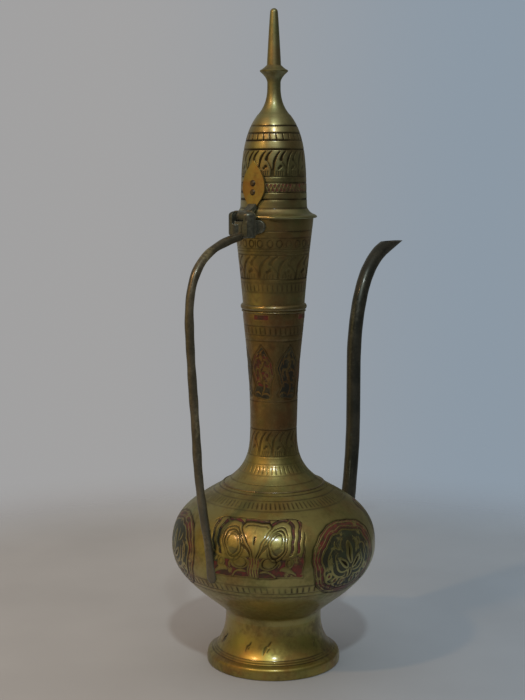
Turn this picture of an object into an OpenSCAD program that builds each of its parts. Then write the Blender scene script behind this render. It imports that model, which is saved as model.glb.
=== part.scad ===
// A brass dallah: a pedestal ewer with a round belly, a long slim neck, a hinged
// domed lid with a turned finial, a bent rod handle and a swan-neck spout.
// Millimetres, +Z up. The origin is the centre of the foot on the table; the
// handle stands towards -X and the spout towards +X.

/* [Sheet] */
// Thickness of the spun brass sheet
wall = 1.3; // [0.9:0.1:1.8]
// How far each shell laps inside the next one at a brazed seam
lap = 3.5; // [2:0.5:4]
// Gap left for solder between lapped shells
solder = 0.05; // [0.02:0.01:0.1]

/* [Overall] */
// Height from the table to the tip of the finial
pot_h = 360; // [330:0.5:400]

/* [Foot] */
// Radius of the rim that stands on the table
foot_r = 37.4; // [34:0.1:44]
// Height of the upright rim
rim_h = 4.2; // [3:0.1:6]
// Width of the rolled rim's standing face
rim_w = 3; // [2:0.1:4]
// How far the skirt steps in above the rim
rim_step = 4.6; // [3:0.1:6]
// Height from the table to the waist
foot_h = 27; // [22:0.5:36]
// Radius of the waist
waist_r = 26.65; // [22:0.05:29]
// Width of the flange that carries the bowl
foot_land = 5; // [3:0.5:8]

/* [Belly] */
// Radius at the widest line
belly_r = 56.85; // [50:0.05:66]
// Height from the waist to the widest line
bowl_h = 41; // [36:0.5:50]
// Height from the widest line to the neck's root
shoulder_h = 34.2; // [30:0.1:42]
// Radius of the shoulder's top
shoulder_top_r = 28; // [25:0.1:32]

/* [Neck] */
// Radius at the slimmest point
neck_r = 12.95; // [11:0.05:15]
// Height of the flared root
root_h = 31.8; // [26:0.1:40]
// Radius at that seam
seam_r = 16.95; // [15:0.05:19]
// Radius of the turned ring over the seam
collar_r = 18.1; // [17.6:0.05:20]
// Height of the turned ring
collar_h = 4.6; // [3:0.1:6]
// Height of the throat, from the seam to the mouth
throat_h = 48.8; // [40:0.1:60]
// Outer radius of the mouth
mouth_r = 21.6; // [20:0.05:24]
// Radius of the half-round wire around the neck's root
root_wire_r = 1; // [0.6:0.1:1.5]

/* [Lid] */
// Gap between the closed lid and the mouth
lid_gap = 0.1; // [0.05:0.05:0.3]
// How far the flange stands out past the mouth
flange_over = 0.8; // [0.4:0.1:1.5]
// Thickness of the flange
flange_t = 1.6; // [1:0.1:2.5]
// How much slimmer the dome is than the mouth
dome_step = 3.55; // [2.5:0.05:5]
// Height of the fillet between the flange and the dome
fillet_h = 5; // [3:0.1:7]
// Height of the dome above the fillet
dome_h = 48.7; // [40:0.1:60]
// Radius of the flat seat under the finial
seat_r = 8.6; // [7:0.1:10]
// Depth of the sleeve that enters the mouth
sleeve_h = 5; // [3:0.5:6]
// Gap between the sleeve and the mouth
sleeve_gap = 1.2; // [1:0.1:1.8]
// Thickness of the sleeve
sleeve_t = 1; // [0.8:0.1:1.5]

/* [Finial] */
// Height of the flared stem
stem_h = 16.9; // [13:0.1:24]
// Radius of the stem
stem_r = 3.6; // [3:0.1:4.5]
// Height of the diamond collar
diamond_h = 10; // [7:0.1:14]
// Radius of the diamond collar
diamond_r = 7.4; // [6:0.1:9]
// Height of the spire
spire_h = 28.9; // [20:0.5:40]
// Radius of the spire's tip
spire_r = 2.1; // [1.5:0.1:2.6]
// Radius of the threaded tail
tail_r = 2; // [1.5:0.1:2.5]
// Radius of the washer inside the dome
washer_r = 6; // [5:0.5:7]
// Thickness of the washer
washer_t = 1; // [0.8:0.1:1.5]
// Radius of the six-sided nut
nut_r = 4.2; // [3.5:0.1:5]
// Height of the nut
nut_h = 3; // [2:0.1:4]

/* [Hinge] */
// Distance of the hinge pin outside the mouth
hinge_out = 5.6; // [5:0.1:7]
// Height of the hinge pin above the flange's underside
hinge_rise = 1.2; // [0.6:0.1:2]
// Radius of the hinge pin
pin_r = 1.5; // [1:0.1:1.8]
// Running clearance around the pin
pin_fit = 0.06; // [0.03:0.01:0.1]
// Outer radius of the knuckle
knuckle_r = 3; // [2.6:0.1:3.2]
// Width of the knuckle
knuckle_w = 5; // [4:0.1:6]
// Gap on each side of the knuckle
knuckle_gap = 0.3; // [0.2:0.05:0.5]
// Thickness of the riveted leaf
leaf_t = 1.2; // [0.9:0.1:1.6]
// Half width of the leaf
leaf_half = 7.9; // [6:0.1:9]
// Height of the leaf
leaf_h = 23.5; // [20:0.5:28]
// Radius of the leaf's rivets
rivet_r = 1; // [0.7:0.1:1.3]
// Distance between the leaf's rivets
rivet_pitch = 4.8; // [4:0.1:7]

/* [Bracket] */
// Thickness of each ear
ear_t = 2.8; // [2:0.1:3.5]
// Radius of the ears around the pin
ear_r = 3.7; // [3.2:0.1:3.8]
// Height of the block under the hinge pin
block_h = 14; // [12:0.5:18]
// Thickness of the saddle plate
saddle_t = 2.6; // [1.8:0.1:3]
// Height of the saddle plate
saddle_h = 7.5; // [5:0.5:9]
// Distance of the saddle plate below the mouth
saddle_drop = 1.4; // [1:0.1:2.5]
// Angle that the saddle plate covers
saddle_angle = 58; // [44:1:80]

/* [Handle] */
// Radius of the rod
rod_r = 2.3; // [1.8:0.1:2.8]
// Distance of the rod from the pot's axis at its farthest
handle_reach = 72.1; // [66:0.1:84]
// Drop from the block to the farthest point
handle_drop = 41; // [34:0.5:50]
// Radius at which the rod passes the middle of the neck
handle_mid = 66.6; // [62:0.1:76]
// Distance of the handle's end below the widest line
handle_end = 10.5; // [7:0.5:15]

/* [Spout] */
// Radius of the spout at the belly
spout_root_r = 6.4; // [5.5:0.1:7.5]
// Radius of the spout along its riser
spout_r = 4.2; // [3.9:0.1:5]
// Wall of the spout
spout_wall = 1; // [0.8:0.1:1.2]
// Distance of the spout's root below the widest line
spout_drop = 7.5; // [6:0.1:9]
// Distance of the riser from the pot's axis
riser_x = 82; // [78:0.1:92]
// Height of the riser's foot above the root
riser_rise = 72; // [60:1:84]
// Height of the straight part of the riser
riser_h = 26; // [10:1:40]
// Horizontal distance from the riser to the middle of the pouring mouth
spout_lean = 41; // [30:1:50]
// Distance of the pouring mouth below the pot's own mouth
pour_drop = 18.7; // [10:0.1:30]
// Slope of the spout at the pouring mouth, in degrees
pour_angle = 22; // [18:1:40]
// Radius of the collar on the belly
spout_collar_r = 9.4; // [8.5:0.1:11]
// Thickness of that collar
spout_collar_t = 1.4; // [1:0.1:2]

/* [Hidden] */
$fn = 96;
STEPS = 12;
SIDES = 12;
RIM_ROUND = 1.8;
EMBED = 1;
OVER = 1;
UP = [0, 1];

lid_h = lid_gap + flange_t + fillet_h + dome_h + stem_h + diamond_h + spire_h;
neck_h = pot_h - lid_h - throat_h - root_h - shoulder_h - bowl_h - foot_h;

z_waist = foot_h;
z_belly = z_waist + bowl_h;
z_shoulder = z_belly + shoulder_h;
z_neck = z_shoulder + root_h;
z_seam = z_neck + neck_h;
z_mouth = z_seam + throat_h;
z_lid = z_mouth + lid_gap;
z_dome = z_lid + flange_t + fillet_h;
z_seat = z_dome + dome_h;
z_tip = pot_h;

dome_r = mouth_r - dome_step;
hinge_x = mouth_r + hinge_out;
hinge_z = z_lid + hinge_rise;
lid_r = mouth_r + flange_over;
mouth_in = mouth_r - wall;
ear_in = knuckle_w / 2 + knuckle_gap;
ear_out = ear_in + ear_t;
block_back = hinge_x + ear_r;
root_z = z_belly - spout_drop;
pour_z = z_mouth - pour_drop;

// ---- curves -------------------------------------------------------------

function unit(v) = v / norm(v);
function flip(list) = [for (i = [len(list) - 1:-1:0]) list[i]];
function cubic(p, a, b, q, t) =
    pow(1 - t, 3) * p + 3 * pow(1 - t, 2) * t * a + 3 * (1 - t) * t * t * b + t * t * t * q;

// A curve from p to q. It leaves along out and arrives along arrive; the two
// pulls are shares of the distance between its ends.
function curve(p, out, q, arrive, pull_p, pull_q, steps = STEPS) =
    let (d = norm(q - p), a = p + unit(out) * d * pull_p, b = q - unit(arrive) * d * pull_q)
    [for (i = [0:steps]) cubic(p, a, b, q, i / steps)];

// A profile moved towards the axis by t, along its own normals.
function inset(pts, t) =
    [for (i = [0:len(pts) - 1])
        let (d = unit(pts[min(i + 1, len(pts) - 1)] - pts[max(i - 1, 0)]))
        pts[i] + t * [-d[1], d[0]]];

// The lip at the top of a shell that laps inside the next profile.
function lip(next) =
    let (d = unit(next[1] - next[0]), n = [-d[1], d[0]], p = next[0])
    [p + n * (wall + solder), p + n * (wall + solder) + d * lap,
     p + n * (2 * wall + solder) + d * lap, p + n * (2 * wall + solder) - d * lap / 2];

// All but the last few points of a list.
function shorten(list, n) = [for (i = [0:len(list) - 1 - n]) list[i]];
function rest(list) = [for (i = [1:len(list) - 1]) list[i]];

// ---- profiles (radius, height), each from its bottom to its top -----------

foot_profile = concat(
    [[foot_r - rim_step / 2, rim_h + RIM_ROUND]],
    curve([foot_r - rim_step, rim_h + rim_step], [-0.9, 1], [waist_r, z_waist], UP, 0.02, 0.66));

bowl_start = [waist_r + 1.55, z_waist + 4.7];
bowl_profile = concat(
    curve([waist_r, z_waist], [0.04, 1], bowl_start, [1.15, 1], 0.1, 0.45, 4),
    rest(curve(bowl_start, [1.15, 1], [belly_r, z_belly], UP, 0.35, 0.354)));

shoulder_profile = curve([belly_r, z_belly], UP, [shoulder_top_r, z_shoulder], [-1.6, 1],
    0.44, 0.4);

root_profile = curve([shoulder_top_r, z_shoulder], [-1.6, 1], [neck_r, z_neck], UP, 0.467, 0.4);

neck_profile = concat(
    root_profile,
    rest(curve([neck_r, z_neck], UP, [seam_r, z_seam - collar_h], [0.085, 1], 0.46, 0.03)),
    [[seam_r, z_seam]]);

throat_profile = concat(
    [[seam_r, z_seam]],
    curve([seam_r, z_seam + collar_h / 2], [0.04, 1], [mouth_r, z_mouth], [0.1, 1], 0.15, 0.02, 6));

fillet_profile = curve([lid_r - flange_t / 4, z_lid + flange_t], [-1, 0.25], [dome_r, z_dome], UP,
    0.1, 0.46, 6);

dome_profile = curve([dome_r, z_dome], [-0.03, 1], [seat_r, z_seat], [-0.8, 1], 0.42, 0.3);

// The outside of the belly, filled to the axis and grown by t.
module belly_fill(t) {
    rotate_extrude() polygon(concat([[0, z_waist]], inset(bowl_profile, -t),
        rest(inset(shoulder_profile, -t)), [[0, z_shoulder]]));
}

// The outside of the throat, filled to the axis and grown by t.
module throat_fill(t) {
    rotate_extrude() polygon(concat([[0, z_seam]], inset(throat_profile, -t), [[0, z_mouth]]));
}

// A spun shell: its outer profile, any lip, and its inner face.
module shell(profile, top = [], skip = 0) {
    rotate_extrude() polygon(concat(profile, top, flip(shorten(inset(profile, wall), skip))));
}

// ---- bent rods and tubes ---------------------------------------------------

// A ring of points around c, which lies in the plane y = 0. The path runs along d.
function ring(c, d, in_plane, across) =
    [for (j = [0:SIDES - 1])
        let (a = 360 * j / SIDES, n = [-d[1], d[0]] * in_plane * cos(a))
        [c[0] + n[0], across * sin(a), c[1] + n[1]]];

// The same ring slid along d until it lies in the plane x = x0, or z = z0.
function slide_to_x(pts, d, x0) =
    [for (p = pts) let (k = (x0 - p[0]) / d[0]) p + k * [d[0], 0, d[1]]];
function slide_to_z(pts, d, z0) =
    [for (p = pts) let (k = (z0 - p[2]) / d[1]) p + k * [d[0], 0, d[1]]];

function heading(path, i) =
    unit(path[min(i + 1, len(path) - 1)] - path[max(i - 1, 0)]);

// Skins a list of rings; a ring-shaped skin closes on itself, any other is capped.
module skin(rings, closed) {
    n = len(rings);
    last = closed ? n - 1 : n - 2;
    sides = [for (i = [0:last], j = [0:SIDES - 1])
        let (a = i * SIDES, b = (i + 1) % n * SIDES, k = (j + 1) % SIDES)
        [a + j, b + j, b + k, a + k]];
    caps = closed ? [] : [[for (j = [0:SIDES - 1]) j],
        [for (j = [SIDES - 1:-1:0]) (n - 1) * SIDES + j]];
    polyhedron([for (r = rings) each r], concat(sides, caps), convexity = 8);
}

// ---- the pot ---------------------------------------------------------------

module foot() {
    inner = inset(foot_profile, wall);
    rim_in = foot_r - rim_w;
    color("darkgoldenrod") rotate_extrude() polygon(concat(
        [[rim_in, 0], [foot_r - 0.4, 0], [foot_r, rim_h / 2], [foot_r - 0.2, rim_h]],
        foot_profile,
        [[waist_r - wall - foot_land, z_waist], [waist_r - wall - foot_land, z_waist - wall],
         [waist_r - wall, z_waist - wall]],
        flip(rest(shorten(inner, 1))),
        [[rim_in, rim_h]]));
}

module spout_hole() {
    translate([belly_r - 3 * spout_root_r, 0, root_z]) rotate([0, 90, 0])
        cylinder(r = spout_root_r + solder, h = 4 * spout_root_r);
}

module lower_bowl() {
    inner = inset(bowl_profile, wall);
    floor_in = [for (p = inner) if (p[1] > z_waist + 1.5 * wall) p];
    color("goldenrod") difference() {
        rotate_extrude() polygon(concat([[0, z_waist]], bowl_profile, lip(shoulder_profile),
            flip(shorten(floor_in, 2)),
            [[waist_r - wall, z_waist + wall], [0, z_waist + wall]]));
        spout_hole();
    }
}

module shoulder() {
    color("goldenrod") shell(shoulder_profile, lip(root_profile), 2);
}

module neck_root_wire() {
    below = unit(shoulder_profile[STEPS - 1] - shoulder_profile[STEPS]);
    above = unit(root_profile[1] - root_profile[0]);
    out = unit([above[1] - below[1], below[0] - above[0]]);
    seam = root_profile[0];
    color("gold") rotate_extrude() polygon(concat([seam],
        [for (i = [0:8]) let (a = i * 22.5)
            seam + root_wire_r * (i == 0 ? above : i == 8 ? below
                : cos(a) * unit(above - below) + sin(a) * out)]));
}

module neck() {
    color("goldenrod") shell(neck_profile, lip(throat_profile), 1);
}

module neck_collar() {
    color("gold") rotate_extrude() polygon(concat(
        [for (i = [-6:6]) [seam_r + (collar_r - seam_r) * cos(15 * i),
            z_seam + collar_h / 2 * sin(15 * i)]]));
}

module throat() {
    inner = inset(throat_profile, wall);
    color("goldenrod") rotate_extrude() polygon(concat(
        throat_profile, [[mouth_in, z_mouth]], flip(shorten(inner, 1))));
}

// ---- the lid ---------------------------------------------------------------

module leaf_rivet_places() {
    for (k = [0, 1]) translate([0, 0, z_dome + leaf_h * 0.31 + k * rivet_pitch])
        rotate([0, -90, 0]) children();
}

module lid_dome() {
    inner = inset(dome_profile, wall);
    color("goldenrod") difference() {
        rotate_extrude() polygon(concat(
            [[dome_r - wall, z_lid], [lid_r, z_lid], [lid_r, z_lid + flange_t * 0.75]],
            fillet_profile, rest(dome_profile),
            [[tail_r, z_seat], [tail_r, z_seat - wall], [seat_r - wall / 2, z_seat - wall]],
            flip(shorten(inner, 1))));
        leaf_rivet_places() cylinder(r = rivet_r, h = lid_r);
    }
}

module lid_sleeve() {
    outer = mouth_in - sleeve_gap;
    color("goldenrod") translate([0, 0, z_lid - sleeve_h]) difference() {
        cylinder(r = outer, h = sleeve_h);
        translate([0, 0, -OVER]) cylinder(r = outer - sleeve_t, h = sleeve_h + 2 * OVER);
    }
}

module finial() {
    neck_z = z_seat + stem_h;
    middle = neck_z + diamond_h / 2;
    spire_z = neck_z + diamond_h;
    tail = wall + washer_t + nut_h + 1;
    color("gold") rotate_extrude() polygon(concat(
        [[0, z_seat - tail], [tail_r, z_seat - tail], [tail_r, z_seat]],
        curve([seat_r - 0.2, z_seat], [-0.8, 1], [stem_r, z_seat + stem_h * 0.85], UP, 0.25, 0.5, 10),
        [[stem_r, neck_z], [diamond_r, middle - 0.3], [diamond_r, middle + 0.3]],
        curve([stem_r, spire_z], [-0.05, 1], [spire_r, z_tip - spire_r], [-0.1, 1], 0.3, 0.1, 6),
        [for (a = [15:15:90]) [spire_r * cos(a), z_tip - spire_r + spire_r * sin(a)]]));
}

module finial_washer() {
    color("peru") translate([0, 0, z_seat - wall - washer_t]) difference() {
        cylinder(r = washer_r, h = washer_t);
        translate([0, 0, -OVER]) cylinder(r = tail_r, h = washer_t + 2 * OVER);
    }
}

module finial_nut() {
    color("peru") translate([0, 0, z_seat - wall - washer_t - nut_h]) difference() {
        cylinder(r = nut_r, h = nut_h, $fn = 6);
        translate([0, 0, -OVER]) cylinder(r = tail_r, h = nut_h + 2 * OVER);
    }
}

// ---- the hinge ---------------------------------------------------------------

module at_pin(length, r) {
    translate([-hinge_x, length / 2, hinge_z]) rotate([90, 0, 0]) cylinder(r = r, h = length);
}

module hinge_leaf() {
    edge = curve([0, z_dome + leaf_h], [1, -1], [leaf_half, z_dome + leaf_h * 0.4], -UP, 0.3, 0.4, 8);
    lower = curve([leaf_half, z_dome + leaf_h * 0.4], -UP, [leaf_half * 0.6, z_dome], [-0.6, -1],
        0.4, 0.3, 5);
    half = concat(edge, rest(lower));
    root_x = dome_r + leaf_t / 2;
    color("orange") difference() {
        union() {
            intersection() {
                rotate_extrude() polygon(concat(dome_profile, flip(inset(dome_profile, -leaf_t))));
                rotate([90, 0, -90]) linear_extrude(height = 2 * dome_r)
                    polygon(concat(half, [for (p = flip(half)) [-p[0], p[1]]]));
            }
            at_pin(knuckle_w, knuckle_r);
            translate([0, knuckle_w / 2, 0]) rotate([90, 0, 0]) linear_extrude(height = knuckle_w)
                polygon([[-root_x, z_dome + 0.7], [-root_x, z_dome + leaf_h * 0.24],
                    [-hinge_x, hinge_z + knuckle_r], [-hinge_x + knuckle_r, hinge_z]]);
        }
        at_pin(knuckle_w + 2 * OVER, pin_r + pin_fit);
        leaf_rivet_places() cylinder(r = rivet_r, h = lid_r);
    }
}

module leaf_rivets() {
    head = 1.8 * rivet_r;
    under_heads = z_dome + leaf_h * 0.31 - head;
    outside = lookup(under_heads, [for (p = dome_profile) [p[1], p[0]]]) + leaf_t;
    inside = dome_r - wall - 0.6;
    color("peru") leaf_rivet_places() {
        translate([0, 0, inside]) cylinder(r = rivet_r, h = outside - inside);
        translate([0, 0, outside]) cylinder(r1 = head, r2 = rivet_r, h = rivet_r);
        translate([0, 0, inside - rivet_r / 2]) cylinder(r = head, h = rivet_r / 2);
    }
}

module hinge_pin() {
    head_h = 0.9;
    color("peru") {
        at_pin(2 * ear_out, pin_r);
        for (s = [-1, 1]) translate([0, s * (ear_out + head_h / 2), 0]) at_pin(head_h, pin_r * 1.6);
    }
}

module hinge_bracket() {
    block_top = hinge_z - knuckle_r - 0.6;
    block_bottom = hinge_z - block_h;
    front = mouth_r;
    color("saddlebrown") difference() {
        union() {
            for (s = [-1, 1]) translate([0, s * (ear_in + ear_t / 2), 0]) {
                at_pin(ear_t, ear_r);
                translate([-block_back, -ear_t / 2, block_bottom])
                    cube([2 * ear_r, ear_t, block_h]);
                translate([-block_back, -ear_t / 2, block_bottom])
                    cube([block_back - front, ear_t, block_top - block_bottom]);
            }
            translate([-block_back, -ear_out, block_bottom])
                cube([block_back - front, 2 * ear_out, block_top - block_bottom]);
        }
        throat_fill(saddle_t);
        at_pin(2 * (ear_out + OVER), pin_r);
    }
}

module neck_saddle() {
    color("saddlebrown") intersection() {
        rotate([0, 0, 180 - saddle_angle / 2]) rotate_extrude(angle = saddle_angle)
            polygon(concat(throat_profile, flip(inset(throat_profile, -saddle_t))));
        translate([-2 * mouth_r, -mouth_r, z_mouth - saddle_drop - saddle_h])
            cube([2 * mouth_r, 2 * mouth_r, saddle_h]);
    }
}

// ---- the handle and the spout ---------------------------------------------------

// Both paths are points (x, z) away from the axis.
module handle() {
    start = [block_back, hinge_z - block_h + rod_r + 0.4];
    far = [handle_reach, start[1] - handle_drop];
    mid_rise = 12;
    mid = [handle_mid, (z_neck + z_shoulder) / 2 + mid_rise];
    end = [belly_r - 0.6 * rod_r, z_belly - handle_end];
    path = concat(
        curve(start, [1, -0.2], far, [-0.03, -1], 0.36, 0.58, 14),
        rest(curve(far, [-0.03, -1], mid, [-0.07, -1], 0.3, 0.3, 8)),
        rest(curve(mid, [-0.07, -1], end, [-0.03, -1], 0.45, 0.3, 12)));
    n = len(path) - 1;
    rings = [for (i = [0:n]) let (d = heading(path, i),
        taper = i > n - 2 ? 0.75 : 1, r = ring(path[i], d, rod_r, rod_r * taper))
        i == 0 ? slide_to_x(r, d, block_back) : r];
    color("saddlebrown") difference() {
        mirror([1, 0, 0]) skin(rings, false);
        belly_fill(0);
    }
}

module spout() {
    inside = belly_r - wall - EMBED;
    leave = [belly_r + spout_collar_t + 1, root_z];
    foot_z = root_z + riser_rise;
    heel_in = 3.6;
    heel = [riser_x - heel_in, root_z + riser_rise * 0.35];
    top_z = foot_z + riser_h;
    knee = [riser_x + 0.29 * spout_lean, top_z + 0.715 * (pour_z - top_z)];
    slope = [cos(pour_angle), sin(pour_angle)];
    pour = [riser_x + spout_lean, pour_z];
    // The last square ring stays below the level cut of the pouring mouth.
    before_cut = pour - slope * (spout_r / tan(pour_angle) + 1);
    path = concat([[inside, root_z]],
        curve(leave, [1, 0], heel, [0.14, 1], 0.4, 0.42, 8),
        rest(curve(heel, [0.14, 1], [riser_x, foot_z], UP, 0.4, 0.42, 5)),
        curve([riser_x, top_z], UP, knee, [0.54, 0.84], 0.45, 0.22, 7),
        rest(curve(knee, [0.54, 0.84], before_cut, slope, 0.3, 0.35, 5)), [pour]);
    n = len(path) - 1;
    bend = 9;
    function radius(i) = i <= 1 ? spout_root_r
        : i >= bend ? spout_r : spout_r + (spout_root_r - spout_r) * pow(1 - (i - 1) / (bend - 1), 1.5);
    function band(t) = [for (i = [0:n]) let (d = i < 2 ? [1, 0] : i > n - 2 ? slope : heading(path, i),
        r = ring(path[i], d, radius(i) - t, radius(i) - t))
        i == n ? slide_to_z(r, d, pour_z) : r];
    color("saddlebrown") skin(concat(band(0), flip(band(spout_wall))), true);
}

module spout_collar() {
    color("peru") difference() {
        intersection() {
            difference() {
                belly_fill(spout_collar_t);
                belly_fill(0);
            }
            translate([belly_r - spout_collar_r, 0, root_z]) rotate([0, 90, 0])
                cylinder(r = spout_collar_r, h = 2 * spout_collar_r);
        }
        spout_hole();
    }
}

// ---- assembly ---------------------------------------------------------------

foot();
lower_bowl();
shoulder();
neck_root_wire();
neck();
neck_collar();
throat();
lid_dome();
lid_sleeve();
finial();
finial_washer();
finial_nut();
hinge_leaf();
leaf_rivets();
hinge_pin();
hinge_bracket();
neck_saddle();
handle();
spout();
spout_collar();
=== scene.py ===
"""The look of a brass dallah, dressed around its packed construction.

The shells are turned meshes whose engraving and enamel cells are cut into the
surface. Every mark is drawn in millimetres as a signed distance, which lowers the
metal and is kept on the mesh, so that the finishes can colour it sharply.
"""

from __future__ import annotations

import logging
import math
from dataclasses import dataclass, field, replace
from enum import Enum
from functools import partial
from typing import Callable, ClassVar, Sequence, TypeAlias

import bpy
import numpy as np
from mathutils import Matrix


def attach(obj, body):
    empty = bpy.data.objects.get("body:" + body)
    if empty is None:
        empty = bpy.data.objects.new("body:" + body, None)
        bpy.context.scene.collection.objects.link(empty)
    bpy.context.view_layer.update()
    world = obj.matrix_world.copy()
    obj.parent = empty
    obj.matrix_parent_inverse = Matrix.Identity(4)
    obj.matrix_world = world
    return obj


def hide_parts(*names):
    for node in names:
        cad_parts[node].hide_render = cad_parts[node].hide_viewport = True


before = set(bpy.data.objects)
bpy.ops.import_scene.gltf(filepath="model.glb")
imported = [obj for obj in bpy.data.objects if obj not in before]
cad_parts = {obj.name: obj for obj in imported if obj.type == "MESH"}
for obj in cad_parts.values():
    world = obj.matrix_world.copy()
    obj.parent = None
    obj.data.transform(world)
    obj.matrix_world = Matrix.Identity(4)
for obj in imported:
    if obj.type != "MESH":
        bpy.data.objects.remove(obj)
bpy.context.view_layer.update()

MM = 0.001
TAU = 2.0 * math.pi
LOG = logging.getLogger("dallah")

Array: TypeAlias = np.ndarray
Point: TypeAlias = tuple[float, float]
Vector: TypeAlias = tuple[float, float, float]
Colour: TypeAlias = tuple[float, float, float]
Skin: TypeAlias = tuple[Array, list]


# ---- Curves and profiles ----


def bezier(p: Array, a: Array, b: Array, q: Array, steps: int) -> Array:
    """Gives the points of a curve from p to q with the control points a and b."""
    t = np.linspace(0.0, 1.0, steps + 1)[:, None]
    return (1 - t) ** 3 * p + 3 * (1 - t) ** 2 * t * a + 3 * (1 - t) * t**2 * b + t**3 * q


def cubic(start: Point, out: Point, end: Point, arrive: Point, pulls: Point, steps: int = 24) -> Array:
    """Draws a curve between two points.

    Args:
        start: Where the curve begins.
        out: The direction in which it leaves.
        end: Where the curve ends.
        arrive: The direction in which it arrives.
        pulls: How strongly each direction pulls, as shares of the distance.
        steps: The number of steps along the curve.

    Returns:
        The points, one row each.
    """
    p, q = np.array(start, float), np.array(end, float)
    reach = np.linalg.norm(q - p)
    a = p + np.array(out, float) / np.linalg.norm(out) * reach * pulls[0]
    b = q - np.array(arrive, float) / np.linalg.norm(arrive) * reach * pulls[1]
    return bezier(p, a, b, q, steps)


def arc(centre: Point, radii: Point, start: float, end: float, count: int,
        closed: bool = False) -> list[Point]:
    """Draws an arc of an upright oval between two angles in radians."""
    turns = np.linspace(start, end, count, endpoint=not closed)
    return [(centre[0] + radii[0] * math.cos(a), centre[1] + radii[1] * math.sin(a)) for a in turns]


def chain(*runs: Sequence) -> Array:
    """Joins runs of points, leaving out a point that repeats the one before it."""
    points = np.concatenate([np.array(run, float).reshape(-1, 2) for run in runs])
    return points[np.r_[True, np.linalg.norm(np.diff(points, axis=0), axis=1) > 1e-6]]


def lengths_along(points: Array) -> Array:
    """Gives the length from the first point to each point."""
    return np.r_[0.0, np.cumsum(np.linalg.norm(np.diff(points, axis=0), axis=1))]


def unit(vectors: Array) -> Array:
    """Gives each vector a length of one."""
    return vectors / np.linalg.norm(vectors, axis=1)[:, None]


def headings(path: Array) -> Array:
    """Gives the direction in which a path runs at each of its points."""
    return unit(np.gradient(path, axis=0))


def eased(share: Array | float) -> Array | float:
    """Makes an even change from 0 to 1 start and end gently."""
    return share * share * (3 - 2 * share)


@dataclass(frozen=True)
class Zone:
    """A stretch of a shell whose rows lie closer together.

    Attributes:
        low: Its lowest height.
        high: Its highest height.
        gap: The spacing of its rows.
    """

    low: float
    high: float
    gap: float


@dataclass
class Profile:
    """A turned outline from its bottom to its top, as radius and height in millimetres.

    Attributes:
        points: Its points, one row each.
        along: The length along the outline at each point.
    """

    points: Array
    along: Array = field(init=False)

    def __post_init__(self) -> None:
        """Measures the outline along itself."""
        self.along = lengths_along(self.points)

    def at(self, s: Array) -> Array:
        """Gives the points at the lengths s."""
        return np.stack([np.interp(s, self.along, self.points[:, k]) for k in (0, 1)], axis=1)

    def normals(self, s: Array, reach: float = 0.3) -> Array:
        """Gives the outward normals at the lengths s, from the slope over a reach to each side."""
        slope = unit(self.at(s + reach) - self.at(s - reach))
        return np.stack([slope[:, 1], -slope[:, 0]], axis=1)

    def length_at(self, height: float) -> float:
        """Gives the length along the outline at which it reaches a height."""
        return float(np.interp(height, self.points[:, 1], self.along))

    def rows(self, coarse: float, zones: Sequence[Zone], samples: int = 6000) -> Array:
        """Spaces rows along the outline, closer where the marks need it.

        Args:
            coarse: The spacing outside all zones.
            zones: The stretches with a spacing of their own.
            samples: The number of places at which the spacing is looked up.

        Returns:
            The lengths along the outline at which the rows lie.
        """
        fine = np.linspace(0.0, self.along[-1], samples)
        spacing = np.full(fine.shape, coarse)
        for zone in zones:
            inside = (fine >= self.length_at(zone.low)) & (fine <= self.length_at(zone.high))
            spacing[inside] = np.minimum(spacing[inside], zone.gap)
        density = np.r_[0.0, np.cumsum(np.diff(fine) / spacing[1:])]
        return np.interp(np.linspace(0.0, density[-1], int(math.ceil(density[-1])) + 1), density, fine)


# ---- Marks: signed distances in millimetres, negative inside ----

FAR = 3.0


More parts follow.
